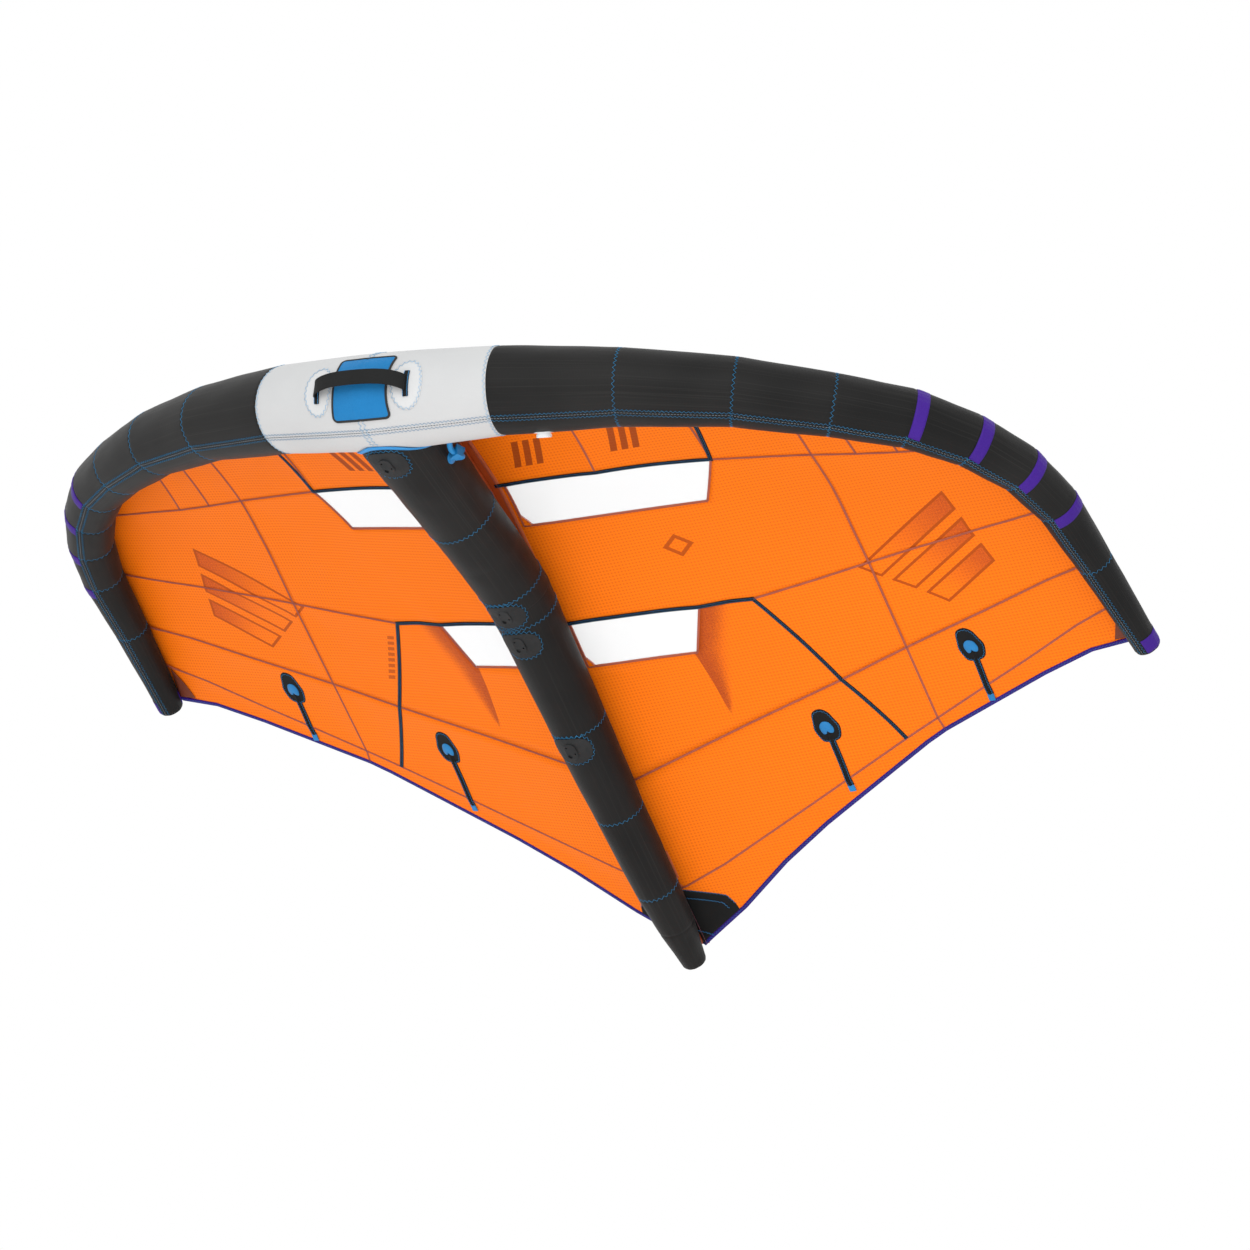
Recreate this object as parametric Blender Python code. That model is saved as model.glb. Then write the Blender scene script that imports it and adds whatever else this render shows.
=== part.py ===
"""Wingfoil wing: an inflatable leading edge and centre strut that carry a sewn canopy.

Metres. The wing is drawn level: +X to its right, +Y aft along the strut, +Z up through the canopy,
from the middle of the leading-edge tube. One empty then tilts it nose-up, as it is flown, and moves
it so that the face of the third handle plate lies at the world's origin.
"""

import math

import bmesh
import bpy
from mathutils import Matrix, Vector

# Attitude in flight
nose_up = math.radians(47.0)

# Leading edge: half span, setback and rise of the tips, and the tube
half_span = 1.452
tip_setback = 1.21
tip_height = 0.445
edge_diameter = 0.2356
sleeve_wall = 0.0012
bladder_wall = 0.0008
bladder_play = 0.0006
seam_gap = 0.0004
seat_gap = 0.0003
tube_sides = 24
bladder_sides = 12
# Shares of half span, setback, rise and diameter at each ring seam, from the middle to the tip
edge_station_shares = (
    (0.0, 0.0, 0.0, 1.0),
    (0.213, 0.0165, 0.0787, 0.9126),
    (0.407, 0.0669, 0.2135, 0.7988),
    (0.577, 0.143, 0.3753, 0.7114),
    (0.7135, 0.2298, 0.519, 0.6477),
    (0.8147, 0.3091, 0.645, 0.6061),
    (0.8884, 0.3975, 0.7416, 0.5552),
    (0.9415, 0.4967, 0.8202, 0.5102),
    (0.969, 0.6033, 0.8764, 0.4635),
    (0.9814, 0.7636, 0.9326, 0.3786),
    (1.0, 1.0, 1.0, 0.28),
)
# Stations where one sleeve panel ends and the next begins
edge_panel_ends = (1, 3, 6, 10)
# The rounded end of a sleeve: shares of its radius for each ring's width and its bulge
dome_shares = ((0.93, 0.11), (0.62, 0.23), (0.2, 0.29))

# Strut: length from the leading edge's axis, its height, and its diameter at the front
strut_length = 1.905
strut_height = 0.152
strut_diameter = 0.215
strut_lead = 0.02
# Shares of length, rise and diameter along the strut
strut_station_shares = (
    (0.0525, 0.066, 1.0),
    (0.138, 0.296, 0.902),
    (0.2205, 0.546, 0.837),
    (0.2803, 0.737, 0.809),
    (0.3675, 0.967, 0.781),
    (0.42, 0.967, 0.744),
    (0.5806, 0.947, 0.684),
    (0.7297, 0.921, 0.595),
    (0.8651, 0.947, 0.521),
    (0.9328, 0.98, 0.447),
    (1.0, 1.0, 0.288),
)
strut_panel_ends = (0, 5, 8, 11)
strut_panel_names = ("strut_sleeve_front", "strut_sleeve_middle", "strut_sleeve_rear")
kink_station = 5
level_station = 10

# Canopy
cloth = 0.0015
dihedral_slope = 0.16
entry_length = 0.50
attach_gap = 0.0004
attach_angle = math.radians(75.0)
spine_clearance = 0.0025
spine_half_width = 0.0137
web_half = 0.0008
web_start = 0.10
rear_fade_share = 0.587
# Shares of half span for the canopy's columns along the leading edge
edge_column_shares = (
    0.00964, 0.02617, 0.107, 0.213, 0.310, 0.407, 0.492, 0.577, 0.647, 0.7135, 0.8147,
)
# Rows of the canopy's nodes, as shares of half span and strut length, from its front seam aft
canopy_row_shares = (
    ((0.00964, 0.2278), (0.0262, 0.2284), (0.0964, 0.2315), (0.1928, 0.2346), (0.2961, 0.2388),
     (0.4015, 0.2441), (0.4924, 0.253), (0.5771, 0.2619), (0.6543, 0.2709), (0.7266, 0.2782),
     (0.8196, 0.285)),
    ((0.00964, 0.2971), (0.0262, 0.2976), (0.0964, 0.3003), (0.186, 0.3029), (0.272, 0.3055),
     (0.3595, 0.3087), (0.4821, 0.315), (0.582, 0.3202), (0.6577, 0.3228), (0.7335, 0.3228),
     (0.8402, 0.3202)),
    ((0.00964, 0.3753), (0.0262, 0.3757), (0.093, 0.378), (0.1825, 0.3806), (0.2686, 0.3832),
     (0.3602, 0.3858), (0.4821, 0.3858), (0.5833, 0.3832), (0.6591, 0.378), (0.7369, 0.3727),
     (0.8506, 0.3675)),
    ((0.00964, 0.4556), (0.0262, 0.4561), (0.0895, 0.4593), (0.1791, 0.4625), (0.2638, 0.4656),
     (0.3616, 0.4677), (0.4821, 0.4556), (0.5854, 0.4436), (0.6612, 0.4352), (0.7438, 0.4273),
     (0.8609, 0.4147)),
    ((0.00964, 0.5265), (0.0262, 0.527), (0.0826, 0.5291), (0.155, 0.5312), (0.2259, 0.5344),
     (0.4008, 0.5318), (0.5028, 0.5066), (0.5854, 0.4934), (0.6646, 0.4829), (0.7507, 0.4724),
     (0.8678, 0.4567)),
    ((0.00964, 0.7123), (0.0262, 0.71), (0.0964, 0.694), (0.1791, 0.6751), (0.2617, 0.6562),
     (0.4518, 0.6147), (0.5234, 0.5974), (0.5854, 0.5827), (0.668, 0.5638), (0.7576, 0.5433),
     (0.8678, 0.5171)),
    ((0.00964, 0.8955), (0.0262, 0.893), (0.1102, 0.8688), (0.2066, 0.8346), (0.3099, 0.7979),
     (0.5179, 0.7228), (0.551, 0.7113), (0.5854, 0.6997), (0.6818, 0.6656), (0.7851, 0.6299),
     (0.8884, 0.5921)),
    ((0.00964, 0.9911), (0.0262, 0.9827), (0.1109, 0.9423), (0.2169, 0.8819), (0.3168, 0.8336),
     (0.551, 0.7339), (0.5702, 0.727), (0.5895, 0.7197), (0.6887, 0.6903), (0.7989, 0.6577),
     (0.8953, 0.6336)),
)
# Shares of the setback where each row ends on the leading edge, the attachment's own row first
row_end_shares = (0.374, 0.402, 0.46, 0.5, 0.578, 0.632, 0.702, 0.781, 0.888, 0.985)
front_seam_row = 2
rear_tape_row = 5
tape_column = 5
last_column = 11
# Each panel as blocks of the canopy's net: first and last row, first and last column
panel_blocks = {
    "canopy_front_inner": (((0, 2), (0, 5)),),
    "canopy_front_outer": (((0, 2), (5, 11)),),
    "window_front": (((2, 3), (1, 5)),),
    "canopy_middle_inner": (((3, 5), (0, 7)), ((2, 3), (5, 7)), ((2, 3), (0, 1))),
    "canopy_middle_outer": (((2, 5), (7, 11)),),
    "window_rear": (((5, 6), (1, 4)),),
    "canopy_rear_inner": (((6, 7), (0, 7)), ((5, 6), (4, 7)), ((5, 6), (0, 1))),
    "canopy_rear_outer": (((5, 7), (7, 11)),),
    "canopy_lower": (((7, 9), (0, 11)),),
}

# Trim sewn under the canopy
tape_half_width = 0.005
tape_start = 0.03
trim_thickness = 0.0009
trim_gap = 0.0008
hem_height = 0.0036
hem_depth = 0.006
hem_end_share = 0.94

# Battens: plan places as shares of half span and strut length, front then back
batten_shares = {
    "outer": ((0.6932, 0.599), (0.6932, 0.684)),
    "inner": ((0.3881, 0.6856), (0.3881, 0.788)),
}
batten_radius = 0.0022
batten_cap_length = 0.032
batten_cap_width = 0.024
batten_cap_height = 0.0052
batten_tab_length = 0.018
batten_tab_width = 0.016
batten_step = 0.001
# Shares of the cap's length, half width and half height at each ring of the cap, then of the tab
batten_cap_shares = ((-0.5, 0.6, 0.6), (-0.25, 1.0, 1.0), (0.25, 1.0, 1.0), (0.5, 0.6, 0.8))
batten_tab_shares = ((0.8, 0.8), (1.0, 0.8))
batten_sides = 8
batten_patch_width = 0.067
batten_patch_length = 0.101
batten_patch_setback = 0.010
batten_patch_points = 16
batten_level_share = 0.5

# Handle plates under the strut: the first by its distance aft of the leading edge's axis, the others
# by shares of the strut's length, with one close ahead of the plate that the wing is held by
front_plate_distance = 0.10706
held_plate_share = 0.4213
rear_plate_share = 0.6003
pair_gap = 0.02354
plate_pad_length = 0.078
plate_pad_width = 0.106
plate_pad_thickness = 0.003
plate_pad_squareness = 2.6
plate_gap = 0.0007
plate_points = 20
# Shares of the way out from a plate pad's centre, where its rings of points lie
plate_level_shares = (0.35, 0.7, 1.0)
plate_length = 0.050
plate_width = 0.034
plate_drop = 0.0062
plate_bevel = 0.0014
plate_hole_floor = 0.0026
# Holes in a plate: shares of its width and length, then the hole's radius as a share of the width
plate_hole_shares = ((-0.22, 0.27, 0.17), (0.3, 0.12, 0.075), (-0.24, -0.27, 0.075))

# Front handle on the leading edge
handle_angle = math.radians(216.0)
handle_lean = math.radians(6.0)
handle_reach = 0.119
handle_standoff = 0.029
strap_width = 0.038
strap_thickness = 0.0026
strap_steps = 20
strap_squareness = 3.2
tab_width = 0.013
tab_length = 0.062
tab_thickness = 0.0034
tab_steps = 8
oval_width = 0.078
oval_length = 0.128
oval_thickness = 0.001
oval_points = 20
# Shares of the way out from an oval's centre, where its rings of points lie
oval_level_shares = (0.25, 0.5, 0.75, 1.0)
sew_gap = 0.0006
pad_clearance = 0.004
pad_waist_share = 0.07
pad_edge_share = 0.55
pad_edge_power = 8
pad_top_angle = math.radians(169.0)
pad_bottom_angle = math.radians(255.0)
pad_thickness = 0.005
pad_columns = 8
pad_rows = 13

# Inflation valve, at a share of the half span, on the sleeve's facet that faces aft and down
valve_share = 0.2803
valve_angle = math.radians(-37.5)
valve_flange_radius = 0.0245
valve_flange = 0.0022
valve_neck_radius = 0.0165
valve_height = 0.0115
valve_stem_radius = 0.0112
valve_stem = 0.0034
valve_bore = 0.0092
core_height = 0.0075
core_foot = 0.0012
core_grip = 0.003
# Shares of the core's radius: its cup at the rim and at the foot, and the bar across it
core_cup_shares = (0.72, 0.66)
core_bar_share = 0.8
cap_wall = 0.0018
cap_skirt = 0.006
cap_arm_share = 0.8
hinge_reach = 0.0235
hinge_height = 0.0062
hinge_radius = 0.0026
hinge_pin = 0.0011
hinge_play = 0.0004
hinge_width = 0.008
ear_width = 0.003
turned_sides = 24

# Air hose from the leading edge to the strut, and its clamp
hose_radius = 0.007
hose_strut_distance = 0.185
hose_edge_share = 0.093
hose_strut_angle = math.radians(187.5)
hose_edge_angle = math.radians(-7.5)
hose_reach = 0.042
# Shares of the hose's reach that its corner stands out and its bends pull, and of the clamp's length
hose_corner_share = 0.375
hose_pull_share = 0.35
hose_straight_share = 0.65
hose_steps = 5
hose_sides = 14
flange_radius = 0.0165
flange_thickness = 0.003
clamp_length = 0.018
clamp_height = 0.022
clamp_width = 0.026
jaw_thickness = 0.005
jaw_gap = 0.001
jaw_pin = 0.0011
jaw_nose_share = 0.6
clamp_foot_share = 0.9
binding_thickness = 0.0035
binding_width = 0.006
binding_start = 0.2
binding_top_share = 0.75
edge_form_share = 0.8

# Colours
orange = (1.0, 0.2, 0.01)
black = (0.018, 0.018, 0.019)
white = (0.8, 0.8, 0.8)
blue = (0.02, 0.24, 0.55)
purple = (0.06, 0.01, 0.25)
brown = (0.25, 0.04, 0.008)
clear_film = (0.9, 0.92, 0.93)
grey = (0.06, 0.06, 0.065)


def lerp(a, b, t):
    return a + (b - a) * t


def turns(count):
    return [math.tau * k / count for k in range(count)]


class Tube:
    """A tapered tube through round stations, with a side and an up direction at each."""

    def __init__(self, centres, radii):
        self.centres = centres
        self.radii = radii
        self.last = len(centres) - 1
        self.sides = []
        self.ups = []
        for n, centre in enumerate(centres):
            back = (centre - centres[max(n - 1, 0)]).normalized()
            ahead = (centres[min(n + 1, self.last)] - centre).normalized()
            along = (back + ahead).normalized()
            up = (Vector((0, 0, 1)) - along * along.z).normalized()
            self.ups.append(up)
            self.sides.append(up.cross(along))

    def station_point(self, n, angle, offset):
        out = math.cos(angle) * self.sides[n] + math.sin(angle) * self.ups[n]
        return self.centres[n] + (self.radii[n] + offset) * out

    def point(self, place, angle, offset=0.0):
        """A point on the tube, or at an offset from it, on the straight line between stations."""
        first = min(max(int(place), 0), self.last - 1)
        near = self.station_point(first, angle, offset)
        far = self.station_point(first + 1, angle, offset)
        return lerp(near, far, place - first)

    def radius(self, place):
        first = min(max(int(place), 0), self.last - 1)
        return lerp(self.radii[first], self.radii[first + 1], place - first)

    def outward(self, place, angle):
        return (self.point(place, angle) - self.point(place, angle + math.pi)).normalized()

    def ring(self, place, offset, sides=tube_sides):
        return [self.point(place, turn, offset) for turn in turns(sides)]

    def shift(self, place, distance):
        """A place moved by a distance along the tube."""
        first = int(place) if distance > 0 else math.ceil(place) - 1
        first = min(max(first, 0), self.last - 1)
        span = (self.centres[first + 1] - self.centres[first]).length
        return place + distance / span

    def place(self, value, axis):
        """The place where the axis of the tube has a coordinate."""
        for n in range(self.last):
            a, b = self.centres[n][axis], self.centres[n + 1][axis]
            if value <= b or n == self.last - 1:
                return n + (value - a) / (b - a)
        return 0.0

    def seat(self, place, angle, reach):
        """A point mid-way across a facet, the facet's outward normal and its direction along."""
        half = math.pi / tube_sides
        low = self.point(place, angle - half)
        high = self.point(place, angle + half)
        rear = self.shift(place, -reach)
        front = self.shift(place, reach)
        ahead = self.point(front, angle - half) + self.point(front, angle + half)
        behind = self.point(rear, angle - half) + self.point(rear, angle + half)
        along = (ahead - behind).normalized()
        out = along.cross(high - low).normalized()
        if out.dot(self.outward(place, angle)) < 0:
            out = -out
        return (low + high) / 2, out, along


def edge_tube():
    centres = []
    radii = []
    count = len(edge_station_shares) - 1
    for n in range(-count, count + 1):
        across, back, rise, width = edge_station_shares[abs(n)]
        side = -1 if n < 0 else 1
        centres.append(Vector((side * across * half_span, back * tip_setback, rise * tip_height)))
        radii.append(width * edge_diameter / 2)
    return Tube(centres, radii)


def strut_tube():
    _, rise, width = strut_station_shares[0]
    centres = [Vector((0, -strut_lead, rise * strut_height / 2))]
    radii = [width * strut_diameter / 2]
    for along, rise, width in strut_station_shares:
        centres.append(Vector((0, along * strut_length, rise * strut_height)))
        radii.append(width * strut_diameter / 2)
    return Tube(centres, radii)


edge = edge_tube()
strut = strut_tube()
middle = len(edge_station_shares) - 1


def polyline_at(points, axis, value):
    """The point of a polyline where one coordinate has a value."""
    for a, b in zip(points, points[1:]):
        if value <= b[axis] or b is points[-1]:
            return a.lerp(b, (value - a[axis]) / (b[axis] - a[axis]))
    return points[-1]


attach_line = [
    edge.point(middle + n, attach_angle, attach_gap + cloth / 2) for n in range(middle + 1)
]
strut_top = [strut.point(n, math.pi / 2) for n in range(strut.last + 1)]
centre_line = [p + Vector((0, 0, spine_clearance)) for p in strut_top[kink_station:level_station + 1]]
centre_line.append(Vector((0, strut_length, centre_line[-1].z)))


def canopy_height(x, y):
    front = centre_line[0].z
    rear = polyline_at(centre_line, 1, max(y, centre_line[0].y)).z - front
    fade = max(0.0, 1.0 - x / (rear_fade_share * half_span))
    level = front + dihedral_slope * x + rear * fade
    root = polyline_at(attach_line, 0, x)
    depth = max(0.0, 1.0 - (y - root.y) / entry_length)
    return level - (level - root.z) * depth ** 2


def canopy_nodes():
    """Rows of the canopy's nodes on the right side, from the leading edge to the trailing edge."""
    rows = [[polyline_at(attach_line, 0, share * half_span) for share in edge_column_shares]]
    for row in canopy_row_shares:
        made = []
        for across, back in row:
            x = across * half_span
            y = back * strut_length
            made.append(Vector((x, y, canopy_height(x, y))))
        rows.append(made)
    between = [a.lerp(b, 0.5) for a, b in zip(rows[0], rows[1])]
    for node in between:
        node.z = canopy_height(node.x, node.y)
    rows.insert(1, between)
    for row, share in zip(rows, row_end_shares):
        row.append(polyline_at(attach_line, 1, share * tip_setback))
    return rows


nodes = canopy_nodes()


def canopy_facets():
    found = []
    for near, far in zip(nodes, nodes[1:]):
        for i in range(last_column):
            found.append((near[i], near[i + 1], far[i + 1]))
            found.append((near[i], far[i + 1], far[i]))
    return found


facets = canopy_facets()


def cloth_height(x, y):
    """Height of the canopy's facets at a place in plan, on either side."""
    x = abs(x)
    best = None
    for a, b, c in facets:
        area = (b.x - a.x) * (c.y - a.y) - (c.x - a.x) * (b.y - a.y)
        v = ((x - a.x) * (c.y - a.y) - (c.x - a.x) * (y - a.y)) / area
        w = ((b.x - a.x) * (y - a.y) - (x - a.x) * (b.y - a.y)) / area
        outside = max(0.0, -v, -w, v + w - 1)
        if best is None or outside < best[0]:
            best = (outside, a.z + v * (b.z - a.z) + w * (c.z - a.z))
        if outside == 0.0:
            break
    return best[1]


def plate_seat(distance):
    """Centre of a handle plate's outer face, its outward normal, and the direction aft."""
    place = strut.place(distance, 1)
    reach = plate_length / 4
    low = strut.point(place, -math.pi / 2)
    ahead = strut.point(strut.shift(place, reach), -math.pi / 2)
    behind = strut.point(strut.shift(place, -reach), -math.pi / 2)
    aft = (ahead - behind).normalized()
    down = aft.cross(Vector((1, 0, 0))).normalized()
    if down.z > 0:
        down = -down
    return low + down * plate_drop, down, aft


def make_frame():
    frame = bpy.data.objects.new("flying_attitude", None)
    bpy.context.collection.objects.link(frame)
    held, _, _ = plate_seat(held_plate_share * strut_length)
    frame.rotation_euler = (-nose_up, 0, 0)
    frame.location = -(Matrix.Rotation(-nose_up, 4, "X") @ held)
    return frame


def finish(thing, colour, roughness, alpha):
    material = bpy.data.materials.new(thing.name + "_finish")
    material.use_nodes = True
    shader = material.node_tree.nodes["Principled BSDF"]
    shader.inputs["Base Color"].default_value = (*colour, 1.0)
    shader.inputs["Roughness"].default_value = roughness
    shader.inputs["Metallic"].default_value = 0.0
    shader.inputs["Alpha"].default_value = alpha
    thing.data.materials.append(material)


def add(name, shape, colour, roughness=0.55, alpha=1.0, pivot=None):
    """Makes an object under the tilted frame from a form drawn in the level one."""
    origin = pivot or Vector((0, 0, 0))
    bmesh.ops.recalc_face_normals(shape, faces=shape.faces)
    bmesh.ops.translate(shape, verts=shape.verts, vec=-origin)
    mesh = bpy.data.meshes.new(name)
    shape.to_mesh(mesh)
    shape.free()
    mesh.shade_smooth()
    mesh.set_sharp_from_angle(angle=math.radians(35))
    thing = bpy.data.objects.new(name, mesh)
    bpy.context.collection.objects.link(thing)
    thing.parent = wing_frame
    thing.location = origin
    finish(thing, colour, roughness, alpha)
    return thing


def combine(thing, name, shape, operation):
    """Cuts, joins or crosses a thing with another form, which stays as a hidden guide."""
    other = add(name, shape, grey)
    other.hide_render = True
    other.display_type = "WIRE"
    modifier = thing.modifiers.new(name, "BOOLEAN")
    modifier.operation = operation
    modifier.solver = "EXACT"
    modifier.object = other


def loft(shape, rings, closed_ends=True):
    """Skins successive rings of points, and caps the two ends."""
    made = [[shape.verts.new(p) for p in ring] for ring in rings]
    for one, two in zip(made, made[1:]):
        join_rims(shape, one, two)
    if closed_ends:
        shape.faces.new(list(reversed(made[0])))
        shape.faces.new(made[-1])
    return made


def join_rims(shape, one, two):
    count = len(one)
    for k in range(count):
        n = (k + 1) % count
        shape.faces.new((one[k], one[n], two[n], two[k]))


def slab(shape, tops, bottoms, faces, borders):
    """A solid between two like sheets of points, with walls along the borders."""
    upper = [shape.verts.new(p) for p in tops]
    lower = [shape.verts.new(p) for p in bottoms]
    for face in faces:
        shape.faces.new([upper[k] for k in face])
        shape.faces.new([lower[k] for k in reversed(face)])
    for a, b in borders:
        shape.faces.new((upper[b], upper[a], lower[a], lower[b]))


def grid_slab(shape, tops, bottoms):
    """The same for a net of points given in rows."""
    rows = len(tops)
    columns = len(tops[0])
    faces = []
    borders = []
    for j in range(rows - 1):
        for i in range(columns - 1):
            a = j * columns + i
            faces.append((a, a + 1, a + columns + 1))
            faces.append((a, a + columns + 1, a + columns))
    for i in range(columns - 1):
        borders.append((i, i + 1))
        borders.append(((rows - 1) * columns + i + 1, (rows - 1) * columns + i))
    for j in range(rows - 1):
        borders.append(((j + 1) * columns, j * columns))
        borders.append(((j + 1) * columns - 1, (j + 2) * columns - 1))
    slab(shape, sum(tops, []), sum(bottoms, []), faces, borders)


def disc_slab(shape, place_at, count, levels, low, high):
    """A round-edged patch: place_at gives a point for an angle, a share of the way out and a lift."""
    spots = [(0.0, 0.0)] + [(turn, level) for level in levels for turn in turns(count)]
    faces = [(0, 1 + k, 1 + (k + 1) % count) for k in range(count)]
    for ring in range(len(levels) - 1):
        base = 1 + ring * count
        for k in range(count):
            n = (k + 1) % count
            faces.append((base + k, base + count + k, base + count + n, base + n))
    last = 1 + (len(levels) - 1) * count
    borders = [(last + k, last + (k + 1) % count) for k in range(count)]
    tops = [place_at(turn, level, high) for turn, level in spots]
    bottoms = [place_at(turn, level, low) for turn, level in spots]
    slab(shape, tops, bottoms, faces, borders)


def block(shape, centre, half_sizes, axes):
    """A box with its half sizes along three directions."""
    rings = []
    for z in (-1, 1):
        ring = []
        for x, y in ((-1, -1), (1, -1), (1, 1), (-1, 1)):
            corner = axes[0] * half_sizes[0] * x + axes[1] * half_sizes[1] * y
            ring.append(centre + corner + axes[2] * half_sizes[2] * z)
        rings.append(ring)
    loft(shape, rings)


def rod(shape, start, end, radius, sides):
    along = (end - start).normalized()
    one = along.orthogonal().normalized()
    two = along.cross(one)
    rings = []
    for spot in (start, end):
        rings.append([spot + (one * math.cos(t) + two * math.sin(t)) * radius for t in turns(sides)])
    loft(shape, rings)


def turned(shape, profile, centre, out, along, across):
    """Turns a closed profile of radius and height round an axis."""
    rings = []
    for radius, height in profile:
        ring = []
        for t in turns(turned_sides):
            ring.append(centre + out * height + (along * math.cos(t) + across * math.sin(t)) * radius)
        rings.append(ring)
    if profile[0][0]:
        made = loft(shape, rings, False)
        join_rims(shape, made[-1], made[0])
        return
    ends = (shape.verts.new(rings[0][0]), shape.verts.new(rings[-1][0]))
    made = loft(shape, rings[1:-1], False)
    for hub, rim in zip(ends, (made[0], made[-1])):
        for k in range(turned_sides):
            shape.faces.new((rim[(k + 1) % turned_sides], rim[k], hub))


# Sleeves and bladders

def domed(rings, sink):
    """Adds the rings of a rounded end beyond the last ring."""
    rim = rings[-1]
    end = sum(rim, Vector()) / len(rim)
    before = sum(rings[-2], Vector()) / len(rings[-2])
    away = (end - before).normalized()
    radius = (rim[0] - end).length
    for width_share, bulge_share in dome_shares:
        lift = away * (bulge_share * radius - sink)
        rings.append([end + (p - end) * width_share + lift for p in rim])
    return rings


def sleeve(tube, places, closed=False):
    """A fabric tube with its wall, open at both ends or rounded off at the last place."""
    shape = bmesh.new()
    skins = []
    for inset in (0.0, sleeve_wall):
        rings = [tube.ring(p, -inset) for p in places]
        if closed:
            rings = domed(rings, inset)
        skins.append(loft(shape, rings, False))
    skin, lining = skins
    join_rims(shape, skin[0], lining[0])
    if closed:
        shape.faces.new(skin[-1])
        shape.faces.new(lining[-1])
    else:
        join_rims(shape, skin[-1], lining[-1])
    return shape


def port(centre, out, radius):
    """A round cutter through the wall at a port."""
    shape = bmesh.new()
    rod(shape, centre - out * radius, centre + out * radius, radius + seat_gap, turned_sides)
    return shape


def bladder(name, tube, front, back, holes):
    """A film tube closed at both ends, open only on the facets where air goes in."""
    shape = bmesh.new()
    skins = []
    for inset in (bladder_play + sleeve_wall, bladder_play + sleeve_wall + bladder_wall):
        wall = inset - bladder_play - sleeve_wall
        places = [tube.shift(front, wall), tube.shift(back, -wall)]
        places += [n for n in range(math.ceil(front), math.ceil(back)) if n > front]
        for low, high, _ in holes:
            places += [low, high]
        places.sort()
        open_facets = {(places.index(low), segment) for low, _, segment in holes}
        made = [[shape.verts.new(p) for p in tube.ring(s, -inset, bladder_sides)] for s in places]
        for n, (one, two) in enumerate(zip(made, made[1:])):
            for k in range(bladder_sides):
                m = (k + 1) % bladder_sides
                if (n, k) not in open_facets:
                    shape.faces.new((one[k], one[m], two[m], two[k]))
        shape.faces.new(list(reversed(made[0])))
        shape.faces.new(made[-1])
        skins.append(made)
    for n, k in open_facets:
        m = (k + 1) % bladder_sides
        rims = [[made[n][k], made[n][m], made[n + 1][m], made[n + 1][k]] for made in skins]
        join_rims(shape, rims[0], rims[1])
    add(name, shape, clear_film, 0.3)


def facet_hole(tube, place, angle, radius):
    """The stretch and the facet left open in a bladder behind a port."""
    segment = math.floor(angle / math.tau * bladder_sides) % bladder_sides
    reach = radius + bladder_play * 4
    return tube.shift(place, -reach), tube.shift(place, reach), segment


def valve_place():
    return edge.place(valve_share * half_span, 0)


def hose_places():
    strut_at = strut.place(hose_strut_distance, 1)
    return strut_at, edge.place(hose_edge_share * half_span, 0)


def build_edge_sleeves():
    half_gap = seam_gap / 2
    ends = (edge.shift(middle - edge_panel_ends[0], half_gap),
            edge.shift(middle + edge_panel_ends[0], -half_gap))
    centre_panel = add("edge_sleeve_middle", sleeve(edge, (ends[0], middle, ends[1])), white)
    centre, out, _ = edge.seat(hose_places()[1], hose_edge_angle, flange_radius)
    combine(centre_panel, "hose_edge_port", port(centre, out, hose_radius), "DIFFERENCE")
    for side, word in ((-1, "left"), (1, "right")):
        for n, (start, end) in enumerate(zip(edge_panel_ends, edge_panel_ends[1:])):
            places = [middle + side * k for k in range(start, end + 1)]
            places[0] = edge.shift(places[0], side * half_gap)
            tip = end == edge_panel_ends[-1]
            if not tip:
                places[-1] = edge.shift(places[-1], -side * half_gap)
            panel = add(f"edge_sleeve_{word}_{n + 1}", sleeve(edge, places, tip), black)
            if side > 0 and n == 0:
                centre, out, _ = edge.seat(valve_place(), valve_angle, valve_flange_radius)
                hole = port(centre, out, valve_stem_radius)
                combine(panel, "valve_port", hole, "DIFFERENCE")


def build_bladders():
    play = bladder_play * 4
    strut_at, edge_at = hose_places()
    edge_holes = (
        facet_hole(edge, edge_at, hose_edge_angle, hose_radius),
        facet_hole(edge, valve_place(), valve_angle, valve_stem_radius),
    )
    bladder("edge_bladder", edge, edge.shift(0, play), edge.shift(edge.last, -play), edge_holes)
    strut_holes = (facet_hole(strut, strut_at, hose_strut_angle, hose_radius),)
    front = strut.place((edge_diameter + strut_diameter / 2) / 2, 1)
    bladder("strut_bladder", strut, front, strut.shift(strut.last, -play), strut_holes)


# Strut

def edge_form(clearance):
    """The middle of the leading edge, a little larger, to fit what meets it."""
    shape = bmesh.new()
    reach = edge_panel_ends[0] * edge_form_share
    loft(shape, [edge.ring(p, clearance) for p in (middle - reach, middle, middle + reach)])
    return shape


def strut_form(clearance, places):
    shape = bmesh.new()
    loft(shape, [strut.ring(p, clearance) for p in places])
    return shape


def build_strut_sleeves():
    half_gap = seam_gap / 2
    for n, (start, end) in enumerate(zip(strut_panel_ends, strut_panel_ends[1:])):
        places = list(range(start, end + 1))
        tail = end == strut.last
        if n:
            places[0] = strut.shift(places[0], half_gap)
        if not tail:
            places[-1] = strut.shift(places[-1], -half_gap)
        panel = add(strut_panel_names[n], sleeve(strut, places, tail), black)
        if n == 0:
            combine(panel, "strut_mouth", edge_form(seat_gap), "DIFFERENCE")
            centre, out, _ = strut.seat(hose_places()[0], hose_strut_angle, flange_radius)
            combine(panel, "hose_strut_port", port(centre, out, hose_radius), "DIFFERENCE")


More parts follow.
